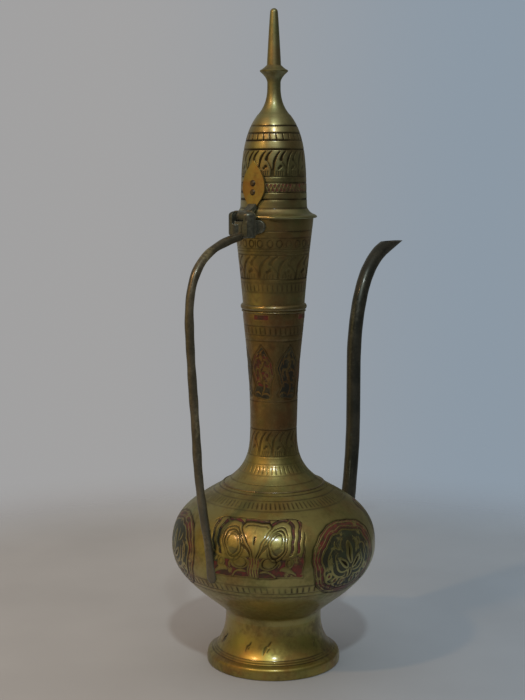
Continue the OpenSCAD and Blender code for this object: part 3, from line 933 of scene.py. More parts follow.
@dataclass(frozen=True)
class Brass(Finish):
    """Handled brass with turning marks, stains and, on engraved shells, enamel.

    Attributes:
        clean: The colour of rubbed metal.
        dull: The colour of tarnish.
        deep: The colour of old stains.
        gloss: The roughness of rubbed metal.
        tarnish: How much of the surface is dull, from 0 to 1.
        lacquer: The weight of the thin clear skin that old polish leaves.
        ink: How dark the dirt in the cuts is, from 0 to 1.
        relief: The depth of the cuts in the shading, in metres.
        crimson: The colour of the red enamel.
        bottle: The colour of the dark enamel.
        engraved: Whether the mesh carries cuts and enamel cells.
        turned: The depth of the turning marks, in metres.
        blush: How strongly the tarnish drifts to red and green, from 0 to 1.
        base: The colour of rubbed metal at the lower end of a shell that fades.
        fade: The heights between which it goes from that colour to its own, in metres.
    """

    CLOUD: ClassVar[Grain] = Grain(34.0, 4.0, 0.6)
    SPECK: ClassVar[Grain] = Grain(420.0, 3.0, 0.6)
    TURNING: ClassVar[Grain] = Grain(1.0, 3.0, 0.65, stretch=(22.0, 22.0, 900.0))
    STAIN: ClassVar[Grain] = Grain(62.0, 5.0, 0.65, shift=(0.31, 0.17, 0.05))
    DRIFT: ClassVar[Grain] = Grain(72.0, 3.0, 0.55, shift=(0.07, 0.41, 0.13))
    RUBBED: ClassVar[Grain] = Grain(150.0, 4.0, 0.7, shift=(0.11, 0.07, 0.23))
    KEPT: ClassVar[Grain] = Grain(46.0, 3.0, 0.6, shift=(0.05, 0.19, 0.13))
    GRIME: ClassVar[Grain] = Grain(260.0, 3.0, 0.6)
    REDDENED: ClassVar[Colour] = (1.04, 0.72, 0.70)
    GREENED: ClassVar[Colour] = (0.78, 0.98, 0.94)
    RED_GRIME: ClassVar[Colour] = (0.036, 0.015, 0.011)
    DARK_GRIME: ClassVar[Colour] = (0.005, 0.008, 0.008)
    SOOT: ClassVar[Colour] = (0.020, 0.014, 0.008)

    clean: Colour = (0.37, 0.312, 0.108)
    dull: Colour = (0.23, 0.194, 0.060)
    deep: Colour = (0.075, 0.052, 0.024)
    gloss: float = 0.38
    tarnish: float = 0.55
    lacquer: float = 0.45
    ink: float = 0.92
    relief: float = 0.00007
    crimson: Colour = (0.108, 0.014, 0.016)
    bottle: Colour = (0.006, 0.017, 0.013)
    engraved: bool = False
    turned: float = 0.00003
    blush: float = 0.45
    base: Colour = (0.37, 0.312, 0.108)
    fade: Point | None = None

    def wire(self, board: Board) -> dict:
        """Gives the values and wires of the main shader's sockets."""
        where = board.place()
        sockets = self.metal(board, where)
        if self.engraved:
            sockets |= self.engraving(board, where, sockets)
        return sockets

    def metal(self, board: Board, where: Wire) -> dict:
        """Wires the bare metal.

        Args:
            board: The material's board.
            where: The position on the object.

        Returns:
            The values and wires of the main shader's sockets.
        """
        cloud, speck, around = (g.over(where) for g in (self.CLOUD, self.SPECK, self.TURNING))
        level = 0.70 - 0.36 * self.tarnish
        worn = (cloud + 0.35 * speck - 0.175).ramp(level - 0.12, level + 0.14)
        clean, dull = self.clean, self.dull
        if self.fade:
            up = board.node("ShaderNodeSeparateXYZ", None, {"Vector": where}, "Z").ramp(*self.fade)
            clean = board.mix(self.base, clean, up)
            dull = board.mix(tuple(0.62 * c for c in self.base), dull, up)
        colour = board.mix(clean, dull, worn)
        drift = self.DRIFT.over(where)
        colour = board.mix(colour, colour * self.REDDENED, drift.ramp(0.50, 0.66) * self.blush)
        colour = board.mix(colour, colour * self.GREENED, drift.ramp(0.32, 0.47, 1.0, 0.0) * self.blush)
        colour = board.mix(colour, self.deep, self.STAIN.over(where).ramp(0.56, 0.74) * 0.55)
        rough = blend_value(self.gloss, self.gloss + 0.16, worn) + 0.12 * around - 0.06
        normal = board.bump(speck, 0.000012, board.bump(around, self.turned))
        return {"Base Color": colour, "Metallic": 1.0, "Roughness": rough, "Normal": normal,
                "Coat Weight": self.lacquer, "Coat Roughness": 0.16}

    def engraving(self, board: Board, where: Wire, metal: dict) -> dict:
        """Wires the dirt in the cuts and the enamel in its cells over the bare metal.

        Args:
            board: The material's board.
            where: The position on the object.
            metal: The values and wires of the bare metal.

        Returns:
            The values and wires of the sockets that change.
        """
        cut, red, green = (board.mark(mark) for mark in Mark)
        rub, grime = self.RUBBED.over(where), self.GRIME.over(where)
        kept = self.KEPT.over(where).ramp(0.36, 0.60, 0.35, 1.0)
        groove = cut.ramp(-0.10, 0.16, 1.0, 0.0)
        filled = groove * kept
        dirt = cut.ramp(0.0, 0.9, 0.7, 0.0) * kept
        crimson = red.ramp(-0.10, 0.06, 1.0, 0.0) * rub.ramp(0.34, 0.45)
        bottle = green.ramp(-0.10, 0.06, 1.0, 0.0) * rub.ramp(0.33, 0.45)
        painted = bottle.largest(crimson)
        colour = board.mix(metal["Base Color"], self.deep, dirt * (0.87 * self.ink))
        for paint, dirty, high, cells in ((self.bottle, self.DARK_GRIME, 0.56, bottle * 0.92),
                                          (self.crimson, self.RED_GRIME, 0.60, crimson * 0.94)):
            colour = board.mix(colour, board.mix(paint, dirty, grime.ramp(0.36, high)), cells)
        colour = board.mix(colour, self.SOOT, filled * self.ink)
        rough = blend_value(blend_value(metal["Roughness"], 0.42, painted), 0.62, filled)
        rolled_edge = cut.ramp(0.0, 0.55, 0.2, 0.0) + red.largest(-1.0).ramp(0.0, 0.5, 0.2, 0.0)
        height = 0.0 - groove - 0.6 * painted - rolled_edge
        bare = 1.0 - (painted * 0.8).largest(filled)
        return {"Base Color": colour, "Metallic": 1.0 - 0.6 * painted, "Roughness": rough,
                "Normal": board.bump(height, self.relief, metal["Normal"]),
                "Specular IOR Level": 0.3, "Coat Weight": bare * self.lacquer}


@dataclass(frozen=True)
class Patina(Finish):
    """Dark, never polished metal with metal showing where hands rub it.

    Attributes:
        dark: The colour of the patina.
        brown: The colour of thinner patina.
        metal: The colour that shows where it is rubbed.
        rubbed: How much of it is rubbed, from 0 to 1.
    """

    CLOUD: ClassVar[Grain] = Grain(70.0, 5.0, 0.62)
    SPECK: ClassVar[Grain] = Grain(650.0, 4.0, 0.65)
    HANDLED: ClassVar[Grain] = Grain(1.0, 4.0, 0.6, stretch=(60.0, 60.0, 14.0))
    CRUST: ClassVar[Grain] = Grain(110.0, 5.0, 0.7, shift=(0.4, 0.2, 0.1))
    VERDIGRIS: ClassVar[Colour] = (0.045, 0.075, 0.055)

    dark: Colour = (0.038, 0.039, 0.031)
    brown: Colour = (0.070, 0.064, 0.047)
    metal: Colour = (0.17, 0.165, 0.120)
    rubbed: float = 0.35

    def wire(self, board: Board) -> dict:
        """Gives the values and wires of the main shader's sockets."""
        where = board.place()
        cloud, speck, handled = (g.over(where) for g in (self.CLOUD, self.SPECK, self.HANDLED))
        thin = (cloud + 0.4 * speck - 0.2).ramp(0.34, 0.72)
        shine = (handled + 0.3 * speck - 0.15).ramp(0.66 - 0.3 * self.rubbed, 0.92 - 0.3 * self.rubbed)
        crust = self.CRUST.over(where).ramp(0.60, 0.72)
        colour = board.mix(self.dark, self.brown, thin)
        colour = board.mix(colour, self.metal, shine)
        colour = board.mix(colour, self.VERDIGRIS, crust * 0.45)
        rough = blend_value(0.36, 0.5, thin) - 0.06 * shine + 0.15 * crust
        normal = board.bump(cloud, 0.00015, board.bump(speck, 0.00003))
        return {"Base Color": colour, "Metallic": 0.75 - 0.4 * crust, "Roughness": rough,
                "Normal": normal, "Coat Weight": 0.25, "Coat Roughness": 0.16}


@dataclass(frozen=True)
class Cloth(Finish):
    """The matt surface on which the pot stands.

    Attributes:
        colour: Its colour on the warm side, where the lamps light it.
        shaded: Its colour on the cool side, with painted shade that makes it darker and bluer.
        across: The direction from the warm side to the cool, shaded one.
        near: The distance from the pot at which it begins to fade, in metres.
        far: The distance at which it has faded into the backdrop.
    """

    MOTTLE: ClassVar[Grain] = Grain(9.0, 3.0, 0.5)
    DARKER: ClassVar[Colour] = (0.92, 0.92, 0.92)

    colour: Colour = (0.345, 0.335, 0.328)
    shaded: Colour = (0.255, 0.305, 0.365)
    across: Vector = (0.595, -0.804, 0.0)
    near: float = 0.26
    far: float = 0.50

    def wire(self, board: Board) -> dict:
        """Gives the values and wires of the main shader's sockets."""
        where = board.place()
        # Painted shade: the cloth turns darker and bluer towards its cool side.
        colour = board.mix(self.colour, self.shaded, where.towards(self.across).ramp(-0.10, 0.16))
        mottle = self.MOTTLE.over(where).ramp(0.3, 0.7)
        away = board.node("ShaderNodeVectorMath", {"operation": "LENGTH"}, {0: where}, "Value")
        return {"Base Color": board.mix(colour, colour * self.DARKER, mottle), "Roughness": 0.75,
                "Alpha": away.ramp(self.near, self.far, 1.0, 0.0)}


ENGRAVED = Brass("engraved brass", "engraved_brass", engraved=True)
BROWNED = Brass("browned brass", "engraved_brass", clean=(0.29, 0.20, 0.082),
                dull=(0.18, 0.122, 0.05), ink=0.5, relief=0.00003, crimson=(0.10, 0.012, 0.012),
                bottle=(0.027, 0.026, 0.014), engraved=True, blush=0.6, fade=(0.110, 0.136))
SMOKED = replace(BROWNED, name="smoked brass", clean=(0.325, 0.255, 0.105), dull=(0.205, 0.16, 0.066),
                 ink=0.7, fade=None)
GREYED = Brass("greyed brass", "engraved_brass", clean=(0.345, 0.308, 0.142), dull=(0.205, 0.18, 0.082),
               engraved=True)
YELLOW = Brass("yellow brass", "engraved_brass", clean=(0.37, 0.295, 0.080), dull=(0.22, 0.165, 0.046),
               tarnish=0.55, lacquer=0.5, gloss=0.41, blush=0.55, engraved=True)
RING = Brass("browned ring", "turned_brass", clean=(0.27, 0.214, 0.096), dull=(0.17, 0.13, 0.057),
             gloss=0.40)
TURNED = Brass("turned brass", "turned_brass", clean=(0.28, 0.255, 0.12), dull=(0.18, 0.163, 0.075),
               tarnish=0.45, gloss=0.48, lacquer=0.3)
GOLDEN = Brass("golden brass", "turned_brass", clean=(0.35, 0.27, 0.092), dull=(0.27, 0.165, 0.056),
               deep=(0.12, 0.125, 0.05), tarnish=0.5, gloss=0.42, lacquer=0.2, blush=0.7)
INSIDE = Brass("dull inner brass", "turned_brass", clean=(0.30, 0.22, 0.08), tarnish=0.8, gloss=0.45)
DARK = Patina("dark patina", "patinated_brass")
CAST = Patina("grey green casting", "patinated_brass", dark=(0.062, 0.064, 0.048),
              brown=(0.116, 0.114, 0.086), metal=(0.21, 0.206, 0.155), rubbed=0.45)
RIVET = Patina("brown rivets", "patinated_brass", dark=(0.06, 0.038, 0.02),
               brown=(0.10, 0.066, 0.03), metal=(0.20, 0.14, 0.06))
OLIVE = Patina("olive patina", "patinated_brass", dark=(0.085, 0.073, 0.048),
               brown=(0.15, 0.128, 0.084), metal=(0.34, 0.285, 0.15), rubbed=0.6)


# ---- Meshes ----


def piece_from(name: str, skin: Skin, finishes: Sequence[Finish], finish_of: Array | None = None,
               sharp: float = 50.0) -> bpy.types.Object:
    """Makes a piece from points in millimetres.

    Args:
        name: The piece's name.
        skin: Its points and its faces.
        finishes: Its finishes, the first one being the main one.
        finish_of: The finish of each face, if there are several.
        sharp: The angle above which an edge is left sharp, in degrees.

    Returns:
        The new object.
    """
    points, faces = skin
    mesh = bpy.data.meshes.new(name)
    mesh.from_pydata((points * MM).tolist(), [], faces)
    mesh.validate()
    mesh.shade_smooth()
    mesh.set_sharp_from_angle(angle=math.radians(sharp))
    for finish in finishes:
        mesh.materials.append(finish.material())
    if finish_of is not None:
        mesh.polygons.foreach_set("material_index", finish_of.astype(np.int32))
    made = bpy.data.objects.new(name, mesh)
    bpy.context.scene.collection.objects.link(made)
    return made


def settle(piece: bpy.types.Object, body: str, *nodes: str) -> None:
    """Lets a piece ride on its body, and reports it.

    Args:
        piece: The piece.
        body: The body's name.
        *nodes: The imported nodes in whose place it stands.
    """
    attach(piece, body)
    if nodes:
        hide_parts(*nodes)
    LOG.info("%s rides on %s for %s", piece.name, body, ", ".join(nodes) or "itself")


def revolve(rings: Sequence[Array], closed: bool = False, capped: bool = False) -> Skin:
    """Joins rings of points into a skin.

    Args:
        rings: Each ring's points. A ring of one point is a pole.
        closed: Whether the last ring joins the first.
        capped: Whether the first and the last ring are filled.

    Returns:
        The points and the faces.
    """
    starts = np.r_[0, np.cumsum([len(ring) for ring in rings])]
    faces: list = []
    for low in range(len(rings) if closed else len(rings) - 1):
        high = (low + 1) % len(rings)
        a, b = len(rings[low]), len(rings[high])
        if max(a, b) < 3:
            continue
        i = np.arange(max(a, b))
        j = (i + 1) % max(a, b)
        corners = [starts[low] + i % a, starts[low] + j % a, starts[high] + j % b, starts[high] + i % b]
        if 1 in (a, b):
            del corners[1 if a == 1 else 3]
        faces.extend(np.stack(corners, axis=1).tolist())
    if capped:
        faces.append(list(range(starts[1]))[::-1])
        faces.append(list(range(starts[-2], starts[-1])))
    return np.concatenate(rings), faces


def spun(section: Sequence[Point], columns: int) -> list[Array]:
    """Spins points of radius and height into rings around the axis, or poles on it."""
    angle = np.arange(columns) * TAU / columns
    return [np.array([[0.0, 0.0, z]]) if r < 1e-6 else
            np.stack([r * np.cos(angle), r * np.sin(angle), 0 * angle + z], axis=1) for r, z in section]


def turned_piece(name: str, section: Sequence[Point], finish: Finish,
                 columns: int = 192) -> bpy.types.Object:
    """Makes a plain turned piece from its closed section."""
    return piece_from(name, revolve(spun(section, columns), closed=True), [finish], sharp=42.0)


def lining(outside: Array, wall: float, pick: slice) -> list[Point]:
    """Gives the inner face of a spun sheet, from its top to its bottom.

    Args:
        outside: The sheet's outer face, from its bottom to its top.
        wall: The sheet's thickness.
        pick: Which of the points are kept.

    Returns:
        The points.
    """
    slope = unit(np.r_[outside[1:], outside[-1:]] - np.r_[outside[:1], outside[:-1]])
    inner = outside + wall * np.stack([-slope[:, 1], slope[:, 0]], axis=1)
    return [tuple(point) for point in inner[::-1][pick]]


@dataclass
class Shell:
    """A spun shell with an engraved outside.

    Attributes:
        DEPTHS: How deep each kind of mark is cut.
        FLANK: The width of a cut's sloping side.
        TRUE_END: How near its ends the surface begins to run true.
        profile: The outside, from its bottom to its top.
        columns: The number of columns around it.
        coarse: The spacing of rows where nothing is engraved.
        zones: The stretches that carry marks.
        ornaments: The marks.
        hand: How far the surface wanders from true.
        grid: The marks as they lie on the surface.
        heights: The height of each row.
        points: The surface, as rows and columns of points.
    """

    DEPTHS: ClassVar[dict[Mark, float]] = {Mark.CUT: 0.11, Mark.RED: 0.12, Mark.GREEN: 0.12}
    FLANK: ClassVar[float] = 0.4
    TRUE_END: ClassVar[float] = 3.0

    profile: Profile
    columns: int
    coarse: float
    zones: Sequence[Zone]
    ornaments: Sequence[Ornament]
    hand: float = 0.12
    grid: Grid = field(init=False)
    heights: Array = field(init=False)
    points: Array = field(init=False)

    def __post_init__(self) -> None:
        """Draws the ornaments and lowers the surface where they are."""
        angle = np.arange(self.columns) * TAU / self.columns
        self.grid = Grid(angle, self.profile, self.profile.rows(self.coarse, self.zones))
        for ornament in self.ornaments:
            ornament.cut_into(self.grid)
        spots, normals = self.profile.at(self.grid.s), self.profile.normals(self.grid.s)
        move = self.wander() - self.drop()
        r, z = (spots[:, k, None] + normals[:, k, None] * move for k in (0, 1))
        self.points = np.stack([r * np.cos(angle), r * np.sin(angle), z], axis=2)
        self.heights = spots[:, 1]

    def drop(self) -> Array:
        """Gives how deep the marks lie at each point."""
        return np.maximum.reduce([
            depth * eased(np.clip(0.5 - self.grid.fields[mark] / self.FLANK, 0.0, 1.0))
            for mark, depth in self.DEPTHS.items()])

    def wander(self) -> Array:
        """Gives how far the hammered surface strays from true at each point."""
        angle, s = self.grid.angle, self.grid.s[:, None]
        free = np.clip(np.minimum(s, s[-1] - s) / self.TRUE_END, 0.0, 1.0)
        return self.hand * free * (0.5 * np.sin(3 * angle + s * 0.045 + 1.0)
                                   + 0.3 * np.sin(7 * angle - s * 0.13 + 2.2)
                                   + 0.2 * np.sin(13 * angle + s * 0.31))

    def build(self, name: str, low: float, high: float, rest: Sequence[Point],
              finish: Finish = ENGRAVED) -> bpy.types.Object:
        """Makes the piece between two heights.

        Args:
            name: The piece's name.
            low: The height at which its outside starts.
            high: The height at which its outside ends.
            rest: The rest of its section, from the top of its outside around to its start.
            finish: The finish of the outside.

        Returns:
            The piece.
        """
        rows = np.nonzero((self.heights > low - 1e-6) & (self.heights < high + 1e-6))[0]
        points, faces = revolve([*self.points[rows], *spun(rest, self.columns)], closed=True)
        inner = np.arange(len(faces)) >= (len(rows) - 1) * self.columns
        made = piece_from(name, (points, faces), [finish, INSIDE], inner)
        for mark in Mark:
            held = np.full(len(points), FAR, np.float32)
            held[: len(rows) * self.columns] = self.grid.fields[mark][rows].ravel()
            layer = made.data.attributes.new(mark.value, "FLOAT", "POINT")
            layer.data.foreach_set("value", held)
        return made


# ---- The object's sub-assemblies ----

UP: Point = (0.0, 1.0)


@dataclass(frozen=True)
class Levels:
    """Heights and radii that several pieces share, in millimetres.

    Attributes:
        waist: Where the foot carries the bowl.
        waist_r: The radius there.
        belly: The widest line, where the bowl meets the shoulder.
        belly_r: The radius there.
        shoulder: Where the shoulder meets the neck's root.
        shoulder_r: The radius there.
        neck: Where the root has become the slim neck.
        neck_r: The radius there.
        seam: The middle of the collar between the neck and the throat.
        seam_r: The radius there, without the collar.
        collar_h: The collar's height.
        mouth: The throat's rim.
        mouth_r: The radius there.
        lid: The underside of the lid's flange.
        dome: Where the lid's dome begins.
        dome_r: The radius there.
        seat: The top of the dome, on which the finial stands.
        seat_r: The radius there.
        tip: The finial's tip.
        wall: The thickness of the sheet.
        hinge_x: The hinge pin's distance from the axis.
        hinge: The pin's height.
    """

    waist: float = 27.0
    waist_r: float = 26.65
    belly: float = 68.0
    belly_r: float = 56.85
    shoulder: float = 102.2
    shoulder_r: float = 28.0
    neck: float = 134.0
    neck_r: float = 12.95
    seam: float = 200.0
    seam_r: float = 16.95
    collar_h: float = 4.6
    mouth: float = 248.8
    mouth_r: float = 21.6
    lid: float = 248.9
    dome: float = 255.5
    dome_r: float = 18.05
    seat: float = 304.2
    seat_r: float = 8.6
    tip: float = 360.0
    wall: float = 1.3
    hinge_x: float = 27.2
    hinge: float = 250.1


LEVELS = Levels()


@dataclass
class Foot:
    """The pedestal with its rolled rim.

    Attributes:
        rim_r: The rim's radius.
        rim_h: The height up to which the rim is round.
        rim_w: The rim's width.
        step: How far in from the rim and above it the skirt begins.
        land: The width of the ring on which the bowl rests.
        columns: The number of columns around it.
        leaves: The angle of each struck leaf, in degrees, and its size as a share.
    """

    rim_r: float = 37.4
    rim_h: float = 4.2
    rim_w: float = 3.0
    step: float = 4.6
    land: float = 5.0
    columns: int = 480
    leaves: tuple[Point, ...] = (
        (-172.5, 0.72), (-150.5, 1.0), (-92.0, 0.5), (-41.0, 0.9), (-16.0, 0.7), (31.0, 1.0),
        (58.0, 0.6), (104.0, 0.9), (147.0, 0.8))

    def rim(self) -> list[Point]:
        """Gives the outside of the rolled rim."""
        r, h = self.rim_r, self.rim_h
        return [(r - 0.9, 0.0), (r - 0.3, 0.35), (r - 0.05, 1.2), (r, h / 2), (r - 0.15, h),
                (r - 0.4, h + 1.2), (r - 0.8, h + 1.9), (r - 1.5, h + 2.4), (r - 2.6, h + 3.0)]

    def skirt(self) -> Array:
        """Gives the outside from the rim to the waist."""
        return cubic((self.rim_r - self.step, self.rim_h + self.step), (-0.9, 1),
                     (LEVELS.waist_r, LEVELS.waist), UP, (0.02, 0.66), 40)

    def ornaments(self) -> list[Ornament]:
        """Lists three fine turned lines and what is left of a row of slanted leaves."""
        return [RingLine(7.6, 0.1), RingLine(8.5, 0.05), RingLine(9.4, 0.05),
                StruckLeaves(11.0, 20.0, self.leaves)]

    def build(self) -> None:
        """Makes the foot."""
        skirt, wall = self.skirt(), LEVELS.wall
        shell = Shell(Profile(chain(self.rim(), skirt)), self.columns, 1.2,
                      [Zone(0, 11.6, 0.25), Zone(11.6, 20.6, 0.45)], self.ornaments())
        lip, rim_in = LEVELS.waist_r - wall, self.rim_r - self.rim_w
        ledge = [(lip - self.land, LEVELS.waist), (lip - self.land, LEVELS.waist - wall),
                 (lip, LEVELS.waist - wall)]
        rolled = [(rim_in, self.rim_h), (rim_in, 0.4), (rim_in + 0.4, 0.0)]
        rest = [*ledge, *lining(skirt, wall, slice(3, -3, 4)), *rolled]
        settle(shell.build("foot_shell", 0.0, LEVELS.waist, rest, YELLOW), "pot", "foot")


@dataclass
class Belly:
    """The round body, made of a bowl and a shoulder that meet at the widest line.

    Attributes:
        columns: The number of columns around it.
        panels: The number of wide panels, and of round ones.
        upper_teeth: The number of teeth around the shoulder.
        lower_teeth: The number of teeth around the bowl.
    """

    columns: int = 800
    panels: int = 3
    upper_teeth: int = 96
    lower_teeth: int = 105

    def bowl(self) -> Array:
        """Gives the outside of the bowl."""
        start = (LEVELS.waist_r + 1.55, LEVELS.waist + 4.7)
        return chain(
            cubic((LEVELS.waist_r, LEVELS.waist), (0.04, 1), start, (1.15, 1), (0.1, 0.45), 12),
            cubic(start, (1.15, 1), (LEVELS.belly_r, LEVELS.belly), UP, (0.35, 0.354), 60))

    def shoulder(self) -> Array:
        """Gives the outside of the shoulder."""
        return cubic((LEVELS.belly_r, LEVELS.belly), UP, (LEVELS.shoulder_r, LEVELS.shoulder),
                     (-1.6, 1), (0.44, 0.4), 60)

    def ornaments(self) -> list[Ornament]:
        """Lists the panels, the rows of teeth and the turned lines."""
        return [
            RingLine(51.0, 0.1),
            Teeth(53.4, 58.0, self.lower_teeth, 0.26, 0.62),
            PanelRing(62.5, 92.4, self.panels, -154.5, 27.6, cartouche),
            PanelRing(49.0, 89.5, self.panels, -97.6, 25.4, medallion),
            Teeth(95.0, 99.0, self.upper_teeth, 0.15, 0.55),
            RingLine(101.0, 0.08)]

    def build(self) -> None:
        """Makes the bowl and the shoulder."""
        bowl, shoulder = self.bowl(), self.shoulder()
        waist, wall = LEVELS.waist, LEVELS.wall
        zones = [Zone(27, 32, 0.6), Zone(48.0, 67.9, 0.5), Zone(67.9, 68.1, 0.05), Zone(68.1, 99.4, 0.5),
                 Zone(99.4, 102.2, 0.25)]
        shell = Shell(Profile(chain(bowl, shoulder)), self.columns, 1.5, zones, self.ornaments(), 0.2)
        seam = shell.heights[np.argmin(np.abs(shell.heights - LEVELS.belly))]
        inner = [p for p in lining(bowl, wall, slice(0, None, 5)) if p[1] > waist + 1.5 * wall]
        floor = [(LEVELS.waist_r - wall, waist + wall), (0.0, waist + wall), (0.0, waist)]
        settle(shell.build("bowl_shell", 0.0, seam, [*inner, *floor]), "pot", "lower_bowl")
        inner = lining(shoulder, wall, slice(0, None, 6))
        settle(shell.build("shoulder_shell", seam, LEVELS.shoulder, inner), "pot", "shoulder")


@dataclass
class Neck:
    """The slim neck with its flared root, the throat above it and the rings on their seams.

    Attributes:
        columns: The number of columns around it.
        floral: The number of floral panels on each enamel.
        leaves: The number of pears in each leaf band.
        bar_turn: The angle of one red bar's middle, in degrees.
        bar_half: Half a red bar's length.
    """

    columns: int = 336
    floral: int = 3
    leaves: int = 11
    bar_turn: float = -167.5
    bar_half: float = 4.2

    def root(self) -> Array:
        """Gives the outside of the flared root."""
        return cubic((LEVELS.shoulder_r, LEVELS.shoulder), (-1.6, 1), (LEVELS.neck_r, LEVELS.neck), UP,
                     (0.467, 0.4), 50)

    def stem(self) -> Array:
        """Gives the outside from the root to the seam."""
        slim = cubic((LEVELS.neck_r, LEVELS.neck), UP, (LEVELS.seam_r, LEVELS.seam - LEVELS.collar_h),
                     (0.085, 1), (0.46, 0.03), 50)
        return chain(slim, [(LEVELS.seam_r, LEVELS.seam)])

    def throat(self) -> Array:
        """Gives the outside from the seam to the mouth."""
        flare = cubic((LEVELS.seam_r, LEVELS.seam + LEVELS.collar_h / 2), (0.04, 1),
                      (LEVELS.mouth_r, LEVELS.mouth), (0.1, 1), (0.15, 0.02), 50)
        return chain([(LEVELS.seam_r, LEVELS.seam)], flare)

    def neck_ornaments(self) -> list[Ornament]:
        """Lists the root's line, teeth and leaves, and the floral band with the marks above it."""
        return [
            RingLine(105.2, 0.13),
            Teeth(109.6, 114.8, 44, 0.26),
            LeafBand(119.0, 133.4, self.leaves, 0.0, 0.14),
            RingLine(149.0, 0.2),
            PanelRing(150.5, 181.0, self.floral, -171.0, 16.0, partial(ogee, ground=Ground.CRIMSON)),
            PanelRing(150.5, 181.0, self.floral, -108.0, 16.0, partial(ogee, ground=Ground.BOTTLE)),
            RingLine(182.6, 0.2),
            Teeth(186.0, 190.8, 36, 0.3),
            RedBars(194.3, 197.2, 4, self.bar_turn, self.bar_half)]

    def throat_ornaments(self) -> list[Ornament]:
        """Lists the throat's bands."""
        return [
            Teeth(209.4, 214.3, 42, 0.2),
            LeafBand(216.5, 229.5, self.leaves, -153.0, 0.34),
            RingLine(231.4, 0.2),
            RingLine(232.8, 0.16),
            Eyes(233.3, 237.9, 24),
            RingLine(238.6, 0.16),
            RingLine(242.2, 0.2)]

    def rings(self) -> None:
        """Makes the collar's bead with its lip, and the wire around the root."""
        r, z, half, lip = LEVELS.seam_r - 0.4, LEVELS.seam, LEVELS.collar_h / 2, 0.6
        collar = [*arc((r, z - half + lip), (1.1, lip), -math.pi / 2, 0.35 * math.pi, 9),
                  *arc((r, z + lip), (1.6, half - lip), -0.42 * math.pi, math.pi / 2, 15)]
        settle(turned_piece("collar_ring", collar, RING), "pot", "neck_collar")
        wire = arc((LEVELS.shoulder_r - 0.15, LEVELS.shoulder - 0.1), (0.65, 0.65), -0.6 * math.pi,
                   0.72 * math.pi, 14)
        settle(turned_piece("root_ring", wire, RING), "pot", "neck_root_wire")

    def build(self) -> None:
        """Makes the neck, the throat and the rings."""
        outside, wall = chain(self.root(), self.stem()), LEVELS.wall
        zones = [Zone(102.2, 106.5, 0.3), Zone(108.5, 134.5, 0.45), Zone(148.5, 183.2, 0.45),
                 Zone(185.4, 198.4, 0.45)]
        shell = Shell(Profile(outside), self.columns, 1.4, zones, self.neck_ornaments())
        rest = lining(outside, wall, slice(0, None, 7))
        settle(shell.build("neck_shell", 102.0, LEVELS.seam, rest, BROWNED), "pot", "neck")
        outside = self.throat()
        zones = [Zone(208.9, 239.2, 0.45), Zone(241.6, 242.8, 0.25)]
        shell = Shell(Profile(outside), self.columns, 1.4, zones, self.throat_ornaments(), 0.08)
        rest = [(LEVELS.mouth_r - 0.45, LEVELS.mouth), (LEVELS.mouth_r - wall, LEVELS.mouth),
                *lining(outside, wall, slice(5, None, 6))]
        settle(shell.build("throat_shell", LEVELS.seam, LEVELS.mouth, rest, SMOKED), "pot", "throat")
        self.rings()


